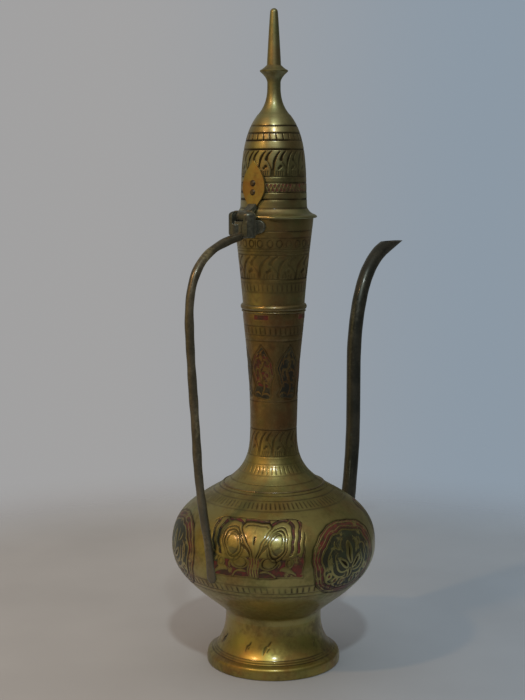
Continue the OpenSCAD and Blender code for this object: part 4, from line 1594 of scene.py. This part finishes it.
@dataclass
class Lid:
    """The domed lid with its sleeve and its turned finial.

    Attributes:
        over: How far the flange reaches past the mouth.
        flare: How much farther it reaches away from the hinge.
        flange: The flange's thickness.
        sleeve_h: How deep the sleeve reaches into the mouth.
        sleeve_gap: The room between the sleeve and the throat.
        columns: The number of columns around the dome.
        leaves: The number of pears in its leaf band.
        stem: The height of the finial's stem.
        stem_r: The stem's radius at its top.
        diamond: The height of the diamond collar on the stem.
        ridge: How high the diamond's edge lies above its bottom.
        diamond_r: The diamond's radius.
        spire_base: The spire's radius at its bottom.
        spire_r: The radius of its round tip.
    """

    over: float = 0.8
    flare: float = 1.1
    flange: float = 1.6
    sleeve_h: float = 5.0
    sleeve_gap: float = 1.2
    columns: int = 336
    leaves: int = 14
    stem: float = 16.9
    stem_r: float = 3.6
    diamond: float = 9.1
    ridge: float = 6.0
    diamond_r: float = 7.6
    spire_base: float = 3.8
    spire_r: float = 2.1

    def dome(self) -> Array:
        """Gives the outside of the dome."""
        return cubic((LEVELS.dome_r, LEVELS.dome), (-0.03, 1), (LEVELS.seat_r, LEVELS.seat), (-0.8, 1),
                     (0.42, 0.3), 60)

    def outside(self) -> Array:
        """Gives the outside of the flange, the fillet and the dome."""
        r, z, t = LEVELS.mouth_r + self.over, LEVELS.lid, self.flange
        edge = [(r - 0.35, z), (r - 0.05, z + 0.3), (r, z + 0.8), (r - 0.15, z + 1.3)]
        fillet = cubic((r - t / 4, z + t), (-1, 0.25), (LEVELS.dome_r, LEVELS.dome), UP, (0.1, 0.46), 16)
        return chain(edge, fillet, self.dome())

    def ornaments(self) -> list[Ornament]:
        """Lists the dome's lines, chevrons, leaves and teeth."""
        lines = ((254.2, 0.14), (259.0, 0.42), (285.4, 0.42), (290.2, 0.34), (294.1, 0.3), (298.0, 0.3))
        return [
            *(RingLine(height, half) for height, half in lines),
            Zigzag(262.75, 267.75, 52),
            LeafBand(271.0, 285.4, self.leaves, -146.7 + 180.0 / self.leaves),
            Teeth(290.2, 294.1, 26, 0.26, 0.95)]

    def diamond_collar(self, low: float, high: float) -> list[Point]:
        """Gives the diamond's section.

        Args:
            low: Its bottom.
            high: Its top.

        Returns:
            The points, from its bottom to its top.
        """
        r, z = self.diamond_r, low + self.ridge
        under = cubic((self.stem_r, low), (0.15, 1), (r - 0.25, z - 0.55), (1.0, 0.85), (0.35, 0.35), 12)
        over = cubic((r - 0.3, z + 0.5), (-1.0, 0.35), (self.spire_base + 0.25, high - 0.2), (-1.0, 0.9),
                     (0.3, 0.3), 8)
        return [*map(tuple, under), (r - 0.02, z - 0.2), (r, z + 0.15), *map(tuple, over)]

    def finial(self) -> Array:
        """Gives the finial's section from the axis to the axis."""
        seat, tip, round_r = LEVELS.seat, LEVELS.tip, self.spire_r
        neck = seat + self.stem
        top = neck + self.diamond
        tail = [(0.0, seat - 6.3), (2.0, seat - 6.3), (2.0, seat)]
        stem = cubic((LEVELS.seat_r - 0.2, seat), (-0.8, 1), (self.stem_r, seat + self.stem * 0.85), UP,
                     (0.25, 0.5), 22)
        spire = cubic((self.spire_base, top), (-0.05, 1), (round_r, tip - round_r), (-0.1, 1),
                      (0.3, 0.1), 24)
        cap = arc((0.0, tip - round_r), (round_r, round_r), 0.2, math.pi / 2, 8)[:-1]
        return chain(tail, stem, self.diamond_collar(neck, top), spire, cap, [(0.0, tip)])

    def flared(self, shell: Shell) -> Array:
        """Gives how much wider the flange is at each point of the shell, as a factor."""
        low = np.clip((LEVELS.lid + 2.7 - shell.heights) / 1.9, 0.0, 1.0) ** 1.4
        away = eased(np.clip((np.abs(shell.grid.angle - math.pi) - 0.42) / 0.25, 0.0, 1.0))
        return 1.0 + self.flare / LEVELS.mouth_r * low[:, None] * away

    def build(self) -> None:
        """Makes the dome, its sleeve and the finial."""
        wall, under, seat = LEVELS.wall, LEVELS.lid, LEVELS.seat
        zones = [Zone(248.9, 251.0, 0.3), Zone(253.8, 254.6, 0.3), Zone(258.4, 299.0, 0.42)]
        shell = Shell(Profile(self.outside()), self.columns, 1.2, zones, self.ornaments(), 0.08)
        shell.points[:, :, :2] *= self.flared(shell)[:, :, None]
        rest = [(2.0, seat), (2.0, seat - wall), (LEVELS.seat_r - wall / 2, seat - wall),
                *lining(self.dome(), wall, slice(4, None, 5)), (LEVELS.dome_r - wall, under)]
        settle(shell.build("dome_shell", 248.0, seat, rest, GREYED), "lid", "lid_dome")
        out, end = LEVELS.mouth_r - wall - self.sleeve_gap, under - self.sleeve_h
        sleeve = [(out - 1.0, under), (out - 1.0, end), (out - 0.2, end), (out, end + 0.3), (out, under)]
        settle(turned_piece("sleeve_ring", sleeve, INSIDE), "lid", "lid_sleeve")
        settle(turned_piece("finial_spire", self.finial(), TURNED, 96), "lid", "finial")


def rings_along(path: Array, heading: Array, radii: Sequence[Point], sides: int) -> list[Array]:
    """Sets rings square to a path that lies in the plane y = 0.

    Args:
        path: The path's points away from the axis, as x and z.
        heading: Its direction at each point.
        radii: Half the thickness in the plane and across it, for each point.
        sides: The number of points in a ring.

    Returns:
        The rings.
    """
    a = np.arange(sides) * TAU / sides
    rings = []
    for c, d, (thick, across) in zip(path, heading, radii):
        side = np.cos(a) * thick
        rings.append(np.stack([c[0] - d[1] * side, -across * np.sin(a), c[1] + d[0] * side], axis=1))
    return rings


@dataclass
class Handle:
    """The bent rod behind the pot, beaten flat where it meets the belly.

    Attributes:
        rod: The rod's radius.
        reach: Its farthest distance from the axis.
        drop: How far below its start it reaches that distance.
        middle: Its distance from the axis beside the neck's root.
        start_x: The distance at which it leaves the bracket.
        start_z: The height at which it leaves the bracket.
        end_z: The height at which it meets the belly.
        sides: The number of points around it.
    """

    rod: float = 2.3
    reach: float = 72.8
    drop: float = 42.2
    middle: float = 67.3
    start_x: float = 30.9
    start_z: float = 240.0
    end_z: float = 57.5
    sides: int = 28

    def path(self) -> Array:
        """Gives the rod's path away from the axis."""
        inside = (self.start_x - 1.2, self.start_z + 0.24)
        start, far = (self.start_x, self.start_z), (self.reach, self.start_z - self.drop)
        mid = (self.middle, (LEVELS.neck + LEVELS.shoulder) / 2 + 12)
        end = (LEVELS.belly_r - 0.6 * self.rod, self.end_z)
        return chain([inside], cubic(start, (1, -0.2), far, (-0.03, -1), (0.36, 0.58), 56),
                     cubic(far, (-0.03, -1), mid, (-0.07, -1), (0.3, 0.3), 32),
                     cubic(mid, (-0.07, -1), end, (-0.03, -1), (0.45, 0.3), 48))

    def radii(self, t: float) -> Point:
        """Gives half the rod's thickness in its plane and across it.

        Args:
            t: The place along the rod, from 0 to 1.

        Returns:
            Both half thicknesses.
        """
        beat = 0.05 * math.sin(41 * t) + 0.04 * math.sin(97 * t + 1)
        flat = eased(min(max((t - 0.925) / 0.05, 0.0), 1.0))
        tip = min(max((t - 0.985) / 0.015, 0.0), 1.0)
        thick = self.rod * (1 + beat) * (1 - 0.30 * flat) * (1 - 0.6 * tip**2)
        across = self.rod * (1 + 0.6 * beat) * (1 + 0.25 * flat) * (1 - 0.45 * tip**2)
        return thick, across

    def build(self) -> None:
        """Makes the handle."""
        path = self.path()
        along = lengths_along(path)
        radii = [self.radii(t) for t in along / along[-1]]
        points, faces = revolve(rings_along(path, headings(path), radii, self.sides), capped=True)
        points[:, 0] *= -1
        made = piece_from("handle_rod", (points, [face[::-1] for face in faces]), [OLIVE])
        settle(made, "pot", "handle")


@dataclass
class Spout:
    """The swan-neck spout, whose mouth is cut level.

    Attributes:
        root_r: The tube's radius at its root.
        tube_r: Its radius above the heel.
        wall: The thickness of its sheet.
        root_z: The height at which it leaves the belly.
        riser_x: The straight riser's distance from the axis.
        riser_rise: How far above the root the riser begins.
        heel: How far up that stretch the heel lies, as a share.
        riser_h: The riser's length.
        lean: How far the mouth lies beyond the riser.
        pour_z: The mouth's height.
        pour_angle: The rise of the tube at its mouth, in degrees.
        collar_t: The thickness of the collar at its root.
        sides: The number of points around it.
    """

    root_r: float = 6.4
    tube_r: float = 4.2
    wall: float = 1.0
    root_z: float = 60.5
    riser_x: float = 81.3
    riser_rise: float = 72.0
    heel: float = 0.35
    riser_h: float = 26.0
    lean: float = 41.7
    pour_z: float = 230.1
    pour_angle: float = 22.0
    collar_t: float = 1.4
    sides: int = 36

    @property
    def heel_z(self) -> float:
        """Gives the height of the heel."""
        return self.root_z + self.riser_rise * self.heel

    @property
    def slope(self) -> Array:
        """Gives the tube's direction at its mouth."""
        angle = math.radians(self.pour_angle)
        return np.array([math.cos(angle), math.sin(angle)])

    def path(self) -> Array:
        """Gives the tube's path away from the axis."""
        low = (self.riser_x, self.root_z + self.riser_rise)
        high = (self.riser_x, low[1] + self.riser_h)
        heel = (self.riser_x - 3.6, self.heel_z)
        knee = (self.riser_x + 0.29 * self.lean, high[1] + 0.715 * (self.pour_z - high[1]))
        pour = np.array([self.riser_x + self.lean, self.pour_z])
        before_cut = pour - self.slope * (self.tube_r / math.tan(math.radians(self.pour_angle)) + 1.0)
        return chain([(LEVELS.belly_r - LEVELS.wall - 1.0, self.root_z)],
                     cubic((LEVELS.belly_r + self.collar_t + 1, self.root_z), (1, 0), heel, (0.14, 1),
                           (0.4, 0.42), 30),
                     cubic(heel, (0.14, 1), low, UP, (0.4, 0.42), 20),
                     cubic(high, UP, knee, (0.54, 0.84), (0.45, 0.22), 28),
                     cubic(knee, (0.54, 0.84), before_cut, self.slope, (0.3, 0.35), 20), [pour])

    def tube(self, thinner: float) -> list[Array]:
        """Gives the rings of one face of the tube.

        Args:
            thinner: How far the face lies inside the outer one.

        Returns:
            The rings, the last one cut level.
        """
        path, slope = self.path(), self.slope
        heading = headings(path)
        heading[:2], heading[-2:] = (1.0, 0.0), slope
        k = np.arange(len(path))
        past_root = np.minimum(k / np.argmin(np.abs(path[:, 1] - self.heel_z)), 1.0)
        beat = 0.06 * np.sin(0.7 * k) * np.sin(0.23 * k + 1)
        r = self.tube_r + (self.root_r - self.tube_r) * (1 - past_root) ** 1.5 + beat - thinner
        rings = rings_along(path, heading, list(zip(r, r)), self.sides)
        slide = (self.pour_z - rings[-1][:, 2]) / slope[1]
        rings[-1] += slide[:, None] * np.array([slope[0], 0.0, slope[1]])
        return rings

    def build(self) -> None:
        """Makes the spout."""
        skin = revolve(self.tube(0.0) + self.tube(self.wall)[::-1], closed=True)
        settle(piece_from("spout_tube", skin, [DARK]), "pot", "spout")


def prism(corners: Sequence[Point], low: float, high: float) -> Skin:
    """Makes a block of an outline, as distances out and heights, that reaches across the hinge."""
    return revolve([np.array([(-u, y, z) for u, z in corners]) for y in (low, high)], capped=True)


@dataclass(frozen=True)
class Post:
    """An upright post with a domed top, cut flat beside the slot between two ears.

    Attributes:
        out: Its distance out from the pot's axis.
        y: Its place across the hinge.
        radius: Its radius.
        low: Its bottom.
        high: Its top.
    """

    out: float
    y: float
    radius: float
    low: float
    high: float

    def skin(self, slot: float, clear: float, sides: int = 24) -> Skin:
        """Makes the post.

        Args:
            slot: Half the width of the slot.
            clear: The height above which the post keeps out of the slot.
            sides: The number of points in a ring.

        Returns:
            The points and the faces.
        """
        a = np.arange(sides) * TAU / sides
        side = math.copysign(1.0, self.y)
        rounding = np.linspace(0, 1.45, 6)
        cap = 0.6 * self.radius
        heights = np.r_[self.low, self.low + 0.6, clear - 0.05, clear + 0.05,
                        self.high - cap + cap * np.sin(rounding)]
        spread = np.r_[0.85, 1.0, 1.0, 1.0, np.cos(rounding)] * self.radius
        rings = []
        for z, r in zip(heights, spread):
            across = self.y + r * np.sin(a)
            if z > clear:
                across = side * np.maximum(side * across, slot)
            rings.append(np.stack([-(self.out + r * np.cos(a)), across, 0 * a + z], axis=1))
        return revolve(rings, capped=True)


def cast(name: str, blocks: Sequence[Skin], finish: Finish, grain: float = 0.24,
         melt: int = 16) -> bpy.types.Object:
    """Melts overlapping blocks into one casting with soft edges.

    Args:
        name: The piece's name.
        blocks: The points and faces of each block.
        finish: Its finish.
        grain: The size of its faces, in millimetres.
        melt: How often its edges are rounded.

    Returns:
        The new object.
    """
    faces: list = []
    start = 0
    for points, corners in blocks:
        faces += [[start + k for k in face] for face in corners]
        start += len(points)
    made = piece_from(name, (np.concatenate([points for points, _ in blocks]), faces), [finish])
    melted = made.modifiers.new("one casting", "REMESH")
    melted.mode, melted.voxel_size, melted.use_smooth_shade = "VOXEL", grain * MM, True
    rounded = made.modifiers.new("soft edges", "SMOOTH")
    rounded.factor, rounded.iterations = 0.5, melt
    return made


@dataclass
class Hinge:
    """The cast bracket with its saddle on the throat, and the leaf on the lid.

    Attributes:
        ear: How far the ears reach across the hinge.
        slot: Half the width of the slot between them.
        back: The distance from the axis at which the bracket begins.
        front: The distance at which it ends.
        saddle_half: The angle that the saddle reaches to each side, in degrees.
        saddle_z: The height of the saddle's middle.
        saddle_tall: Half the saddle's height.
        saddle_t: The saddle's thickness.
        knuckle: The radius of the leaf's knuckle.
        knuckle_half: Half the knuckle's length.
        leaf_t: The leaf's thickness.
        leaf_flat: How much the leaf is flatter across than the dome, from 0 to 1.
        leaf_wide: The half width of the leaf, and the height at which it is widest.
        tongue_half: Half the width of the tongue between the leaf and the knuckle.
    """

    ear: float = 5.7
    slot: float = 2.8
    back: float = 21.2
    front: float = 32.3
    saddle_half: float = 24.5
    saddle_z: float = 244.8
    saddle_tall: float = 3.6
    saddle_t: float = 1.9
    knuckle: float = 3.3
    knuckle_half: float = 2.6
    leaf_t: float = 1.3
    leaf_flat: float = 0.45
    leaf_wide: Point = (7.4, 265.4)
    tongue_half: float = 2.35

    def bracket(self) -> None:
        """Casts the bracket in one with its two ears."""
        x, z = LEVELS.hinge_x, LEVELS.hinge
        under = [(self.back, 240.9), (25.0, 239.9), (self.front - 1.4, 239.0)]
        edge = self.front - 0.8
        ear = [*under, (edge, 240.6), (edge, 247.6), *arc((x, z), (3.4, 3.3), 0.35, 2.9, 12),
               (23.6, 247.4), (self.back, 247.0)]
        edge = self.front - 0.9
        wall = [*under, (edge, 240.6), (edge, 247.5), (self.front - 1.4, 248.1), (x + 3.1, 248.1),
                (x + 3.4, 246.2), (self.back, 246.2)]
        clear = z - self.knuckle - 0.4
        posts = (Post(30.0, 3.4, 3.5, 240.4, 253.2), Post(27.6, -3.2, 4.2, 239.0, 253.4))
        blocks = [prism(ear, self.slot, self.ear), prism(ear, -self.ear, -self.slot),
                  prism(wall, -self.ear, self.ear), *(post.skin(self.slot, clear) for post in posts)]
        settle(cast("bracket_casting", blocks, CAST), "pot", "hinge_bracket")

    def saddle(self) -> None:
        """Bends the saddle around the throat."""
        throat = Neck().throat()
        reach = LEVELS.mouth_r * math.radians(self.saddle_half)
        rings = []
        for s in np.r_[-reach, np.linspace(-reach + 0.25, reach - 0.25, 61), reach]:
            over = max(abs(s) - (reach - self.saddle_tall), 0.0)
            tall = max(math.sqrt(max(self.saddle_tall**2 - over**2, 0.0)), 0.35)
            rise = self.saddle_t * min(1.0, 0.45 + 1.3 * (reach - abs(s)))
            lift = np.array([tall, tall, tall - 0.18, tall * 0.8, 0.0, -tall * 0.8, 0.18 - tall,
                             -tall, -tall])
            out = np.array([-0.5, rise - 0.45, rise - 0.15, rise, rise + 0.1, rise, rise - 0.15,
                            rise - 0.45, -0.5])
            z = self.saddle_z + lift
            r = np.interp(z, throat[:, 1], throat[:, 0]) + out
            angle = math.pi + s / LEVELS.mouth_r
            rings.append(np.stack([r * math.cos(angle), r * math.sin(angle), z], axis=1))
        made = piece_from("saddle_plate", revolve(rings, capped=True), [CAST])
        settle(made, "pot", "neck_saddle")

    def leaf(self) -> None:
        """Beats out the pointed leaf."""
        dome = Lid().dome()
        upper = cubic((0.25, 279.4), (1.0, -1.3), self.leaf_wide, (0.0, -1.0), (0.26, 0.42), 26)
        lower = cubic(self.leaf_wide, (0.0, -1.0), (2.35, 255.4), (-0.75, -1.0), (0.36, 0.32), 20)
        count = 15
        across = np.sin(np.linspace(-math.pi / 2, math.pi / 2, count)) * 0.97
        level = self.leaf_t * np.r_[np.ones(count), 0.5, np.zeros(count), 0.5]
        rings = []
        for half, z in chain(upper, lower):
            r = float(np.interp(z, dome[:, 1], dome[:, 0])) + 0.1
            wide = half * np.r_[across, 1.0, across[::-1], -1.0]
            sag = r - np.sqrt(r * r - wide * wide)
            rings.append(np.stack([-(r + level - self.leaf_flat * sag), wide, 0 * wide + z], axis=1))
        settle(piece_from("leaf_plate", revolve(rings, capped=True), [GOLDEN]), "lid", "hinge_leaf")

    def tongue(self) -> None:
        """Casts the tongue that joins the leaf to the knuckle on the pin."""
        x, z, r = LEVELS.hinge_x, LEVELS.hinge, self.knuckle
        barrel = arc((x, z), (r, r), 0, TAU, 28, closed=True)
        arm = [(18.0, 254.8), (18.4, 256.9), (19.8, 256.8), (21.6, 255.6), (24.4, 253.6), (x, z + r),
               (x - r, z), (22.8, 251.2), (20.6, 252.6)]
        blocks = [prism(barrel, -self.knuckle_half, self.knuckle_half),
                  prism(arm, -self.tongue_half, self.tongue_half)]
        settle(cast("leaf_tongue", blocks, CAST, 0.2, 5), "lid")

    def build(self) -> None:
        """Makes the bracket, the saddle, the leaf and its tongue."""
        self.bracket()
        self.saddle()
        self.leaf()
        self.tongue()


@dataclass
class Dressing:
    """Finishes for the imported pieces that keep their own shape.

    Attributes:
        finishes: The finish of each piece.
        edge: The width to which their edges are softened.
    """

    finishes: dict[str, Finish] = field(default_factory=lambda: {
        "leaf_rivets": RIVET, "hinge_pin": DARK, "spout_collar": DARK, "finial_washer": INSIDE,
        "finial_nut": INSIDE})
    edge: float = 0.25

    def build(self) -> None:
        """Gives each piece its finish and softens its edges."""
        for node, finish in self.finishes.items():
            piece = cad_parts[node]
            piece.data.materials.clear()
            piece.data.materials.append(finish.material())
            soften = piece.modifiers.new("soft edges", "BEVEL")
            soften.width, soften.segments, soften.limit_method = self.edge * MM, 2, "ANGLE"
            soften.angle_limit = math.radians(40)
            LOG.info("%s keeps its shape in %s", node, finish.name)


# ---- The studio ----


def look(direction: Array) -> Vector:
    """Gives the rotation with which a camera or lamp looks along a direction."""
    x, y, z = direction
    return (math.atan2(math.hypot(x, y), -z), 0.0, math.atan2(y, x) - math.pi / 2)


@dataclass
class Studio:
    """The floor, the lamps, the surroundings and the camera.

    Attributes:
        eye: The camera's place, in metres.
        pitch: How far it looks up, in degrees.
        facing: The direction in which it looks, seen from above.
        lens: Its focal length, in millimetres.
        side: How far the floor reaches from the pot, in metres.
        aim: The height at which the lamps are aimed, in metres.
        backdrop: The backdrop's colour.
        far_side: Its colour on the cool side, with painted shade that makes it darker and bluer.
        ambient: The colour of the soft light from all around.
        wall: The colour of the wall ahead, as the brass mirrors it.
        dim_wall: The wall's colour on its far side.
        room: The colour of the dim room.
        warm_side: The room's colour on the left.
        window: The window's colour.
        ceiling: The ceiling's colour.
    """

    eye: Vector = (-0.6242, -0.4543, 0.2824)
    pitch: float = -7.84
    facing: Point = (0.804, 0.595)
    lens: float = 72.8
    side: float = 1.6
    aim: float = 0.15
    backdrop: Colour = (0.362, 0.358, 0.358)
    far_side: Colour = (0.262, 0.318, 0.378)
    ambient: Colour = (0.63, 0.61, 0.585)
    wall: Colour = (0.26, 0.26, 0.235)
    dim_wall: Colour = (0.085, 0.09, 0.08)
    room: Colour = (0.040, 0.042, 0.035)
    warm_side: Colour = (0.24, 0.168, 0.08)
    window: Colour = (0.60, 0.46, 0.17)
    ceiling: Colour = (0.25, 0.24, 0.20)

    def floor(self) -> None:
        """Lays the floor."""
        mesh = bpy.data.meshes.new("floor")
        signs = ((-1, -1), (1, -1), (1, 1), (-1, 1))
        mesh.from_pydata([(x * self.side, y * self.side, 0.0) for x, y in signs], [], [(0, 1, 2, 3)])
        mesh.materials.append(Cloth("floor cloth", "floor").material())
        made = bpy.data.objects.new("floor", mesh)
        bpy.context.scene.collection.objects.link(made)

    def surroundings(self) -> None:
        """Lights the scene softly, shows a pale backdrop and lets the brass mirror a room."""
        world = bpy.data.worlds.new("studio")
        world.use_nodes = True
        bpy.context.scene.world = world
        board = Board(world.node_tree)
        by_camera, by_mirror, through_glass = (
            board.node("ShaderNodeLightPath", output=f"Is {kind} Ray")
            for kind in ("Camera", "Glossy", "Transmission"))
        direction = board.node("ShaderNodeTexCoord", output="Generated")
        fx, fy = self.facing
        ahead, left = direction.towards((fx, fy, 0.0)), direction.towards((-fy, fx, 0.0))
        above = direction.towards((0.0, 0.0, 1.0))
        pane = direction.towards((-0.93 * fy - 0.36 * fx, 0.93 * fx - 0.36 * fy, 0.08))
        wall = board.mix(self.dim_wall, self.wall, left.ramp(-0.45, 0.45))
        mirrored = board.mix(self.room, self.warm_side, left.ramp(-0.10, 0.65))
        mirrored = board.mix(mirrored, self.ceiling, above.ramp(0.25, 0.95))
        mirrored = board.mix(mirrored, wall, ahead.ramp(0.05, 0.7))
        mirrored = board.mix(mirrored, self.window, pane.ramp(0.90, 0.99))
        # Painted shade: the backdrop ahead turns darker and bluer on its right, cool side.
        painted_shade_share = left.ramp(-0.17, 0.12, 1.0, 0.0) * ahead.ramp(0.75, 0.93)
        backdrop = board.mix(self.backdrop, self.far_side, painted_shade_share)
        colour = board.mix(self.ambient, mirrored, by_mirror)
        colour = board.mix(colour, backdrop, by_camera.largest(through_glass))
        back = board.node("ShaderNodeBackground", None, {"Color": colour, "Strength": 1.0})
        board.node("ShaderNodeOutputWorld", None, {"Surface": back})

    def lamp(self, name: str, turn: float, lift: float, size: float, power: float,
             colour: Colour, distance: float = 1.5) -> None:
        """Hangs a lamp that faces the pot.

        Args:
            name: The lamp's name.
            turn: Its place around the pot, to the right of the camera, in degrees.
            lift: Its height above the horizon, in degrees.
            size: The width of its face, in metres.
            power: Its power, in watts.
            colour: The colour of its light.
            distance: Its distance from the pot, in metres.
        """
        data = bpy.data.lights.new(name, "AREA")
        data.shape, data.size, data.energy, data.color = "DISK", size, power, colour
        base = math.atan2(-self.facing[1], -self.facing[0]) + math.radians(turn)
        up = math.radians(lift)
        away = np.array([math.cos(up) * math.cos(base), math.cos(up) * math.sin(base), math.sin(up)])
        made = bpy.data.objects.new(name, data)
        made.location = np.array([0.0, 0.0, self.aim]) + distance * away
        made.rotation_euler = look(-away)
        bpy.context.scene.collection.objects.link(made)

    def camera(self) -> None:
        """Sets up the camera."""
        data = bpy.data.cameras.new("camera")
        data.lens, data.sensor_width, data.sensor_fit = self.lens, 36.0, "AUTO"
        data.clip_start = 0.01
        made = bpy.data.objects.new("camera", data)
        pitch = math.radians(self.pitch)
        level = math.cos(pitch)
        made.location = self.eye
        made.rotation_euler = look(np.array([
            self.facing[0] * level, self.facing[1] * level, math.sin(pitch)]))
        bpy.context.scene.collection.objects.link(made)
        bpy.context.scene.camera = made

    def build(self) -> None:
        """Makes the whole studio."""
        self.camera()
        self.floor()
        self.surroundings()
        self.lamp("warm lamp", -49.0, 42.0, 0.065, 2.2, (1.0, 0.57, 0.24), 0.95)
        self.lamp("cool lamp", 3.0, 47.0, 0.09, 7.0, (0.87, 0.98, 1.0))
        bpy.context.scene.view_settings.view_transform = "Standard"
        LOG.info("the studio stands")


def main() -> None:
    """Builds the scene."""
    logging.basicConfig(level=logging.INFO, format="%(name)s: %(message)s")
    Studio().build()
    for part in (Foot(), Belly(), Neck(), Lid(), Hinge(), Handle(), Spout(), Dressing()):
        part.build()
        LOG.info("%s is in place", type(part).__name__)


if __name__ == "__main__":
    main()
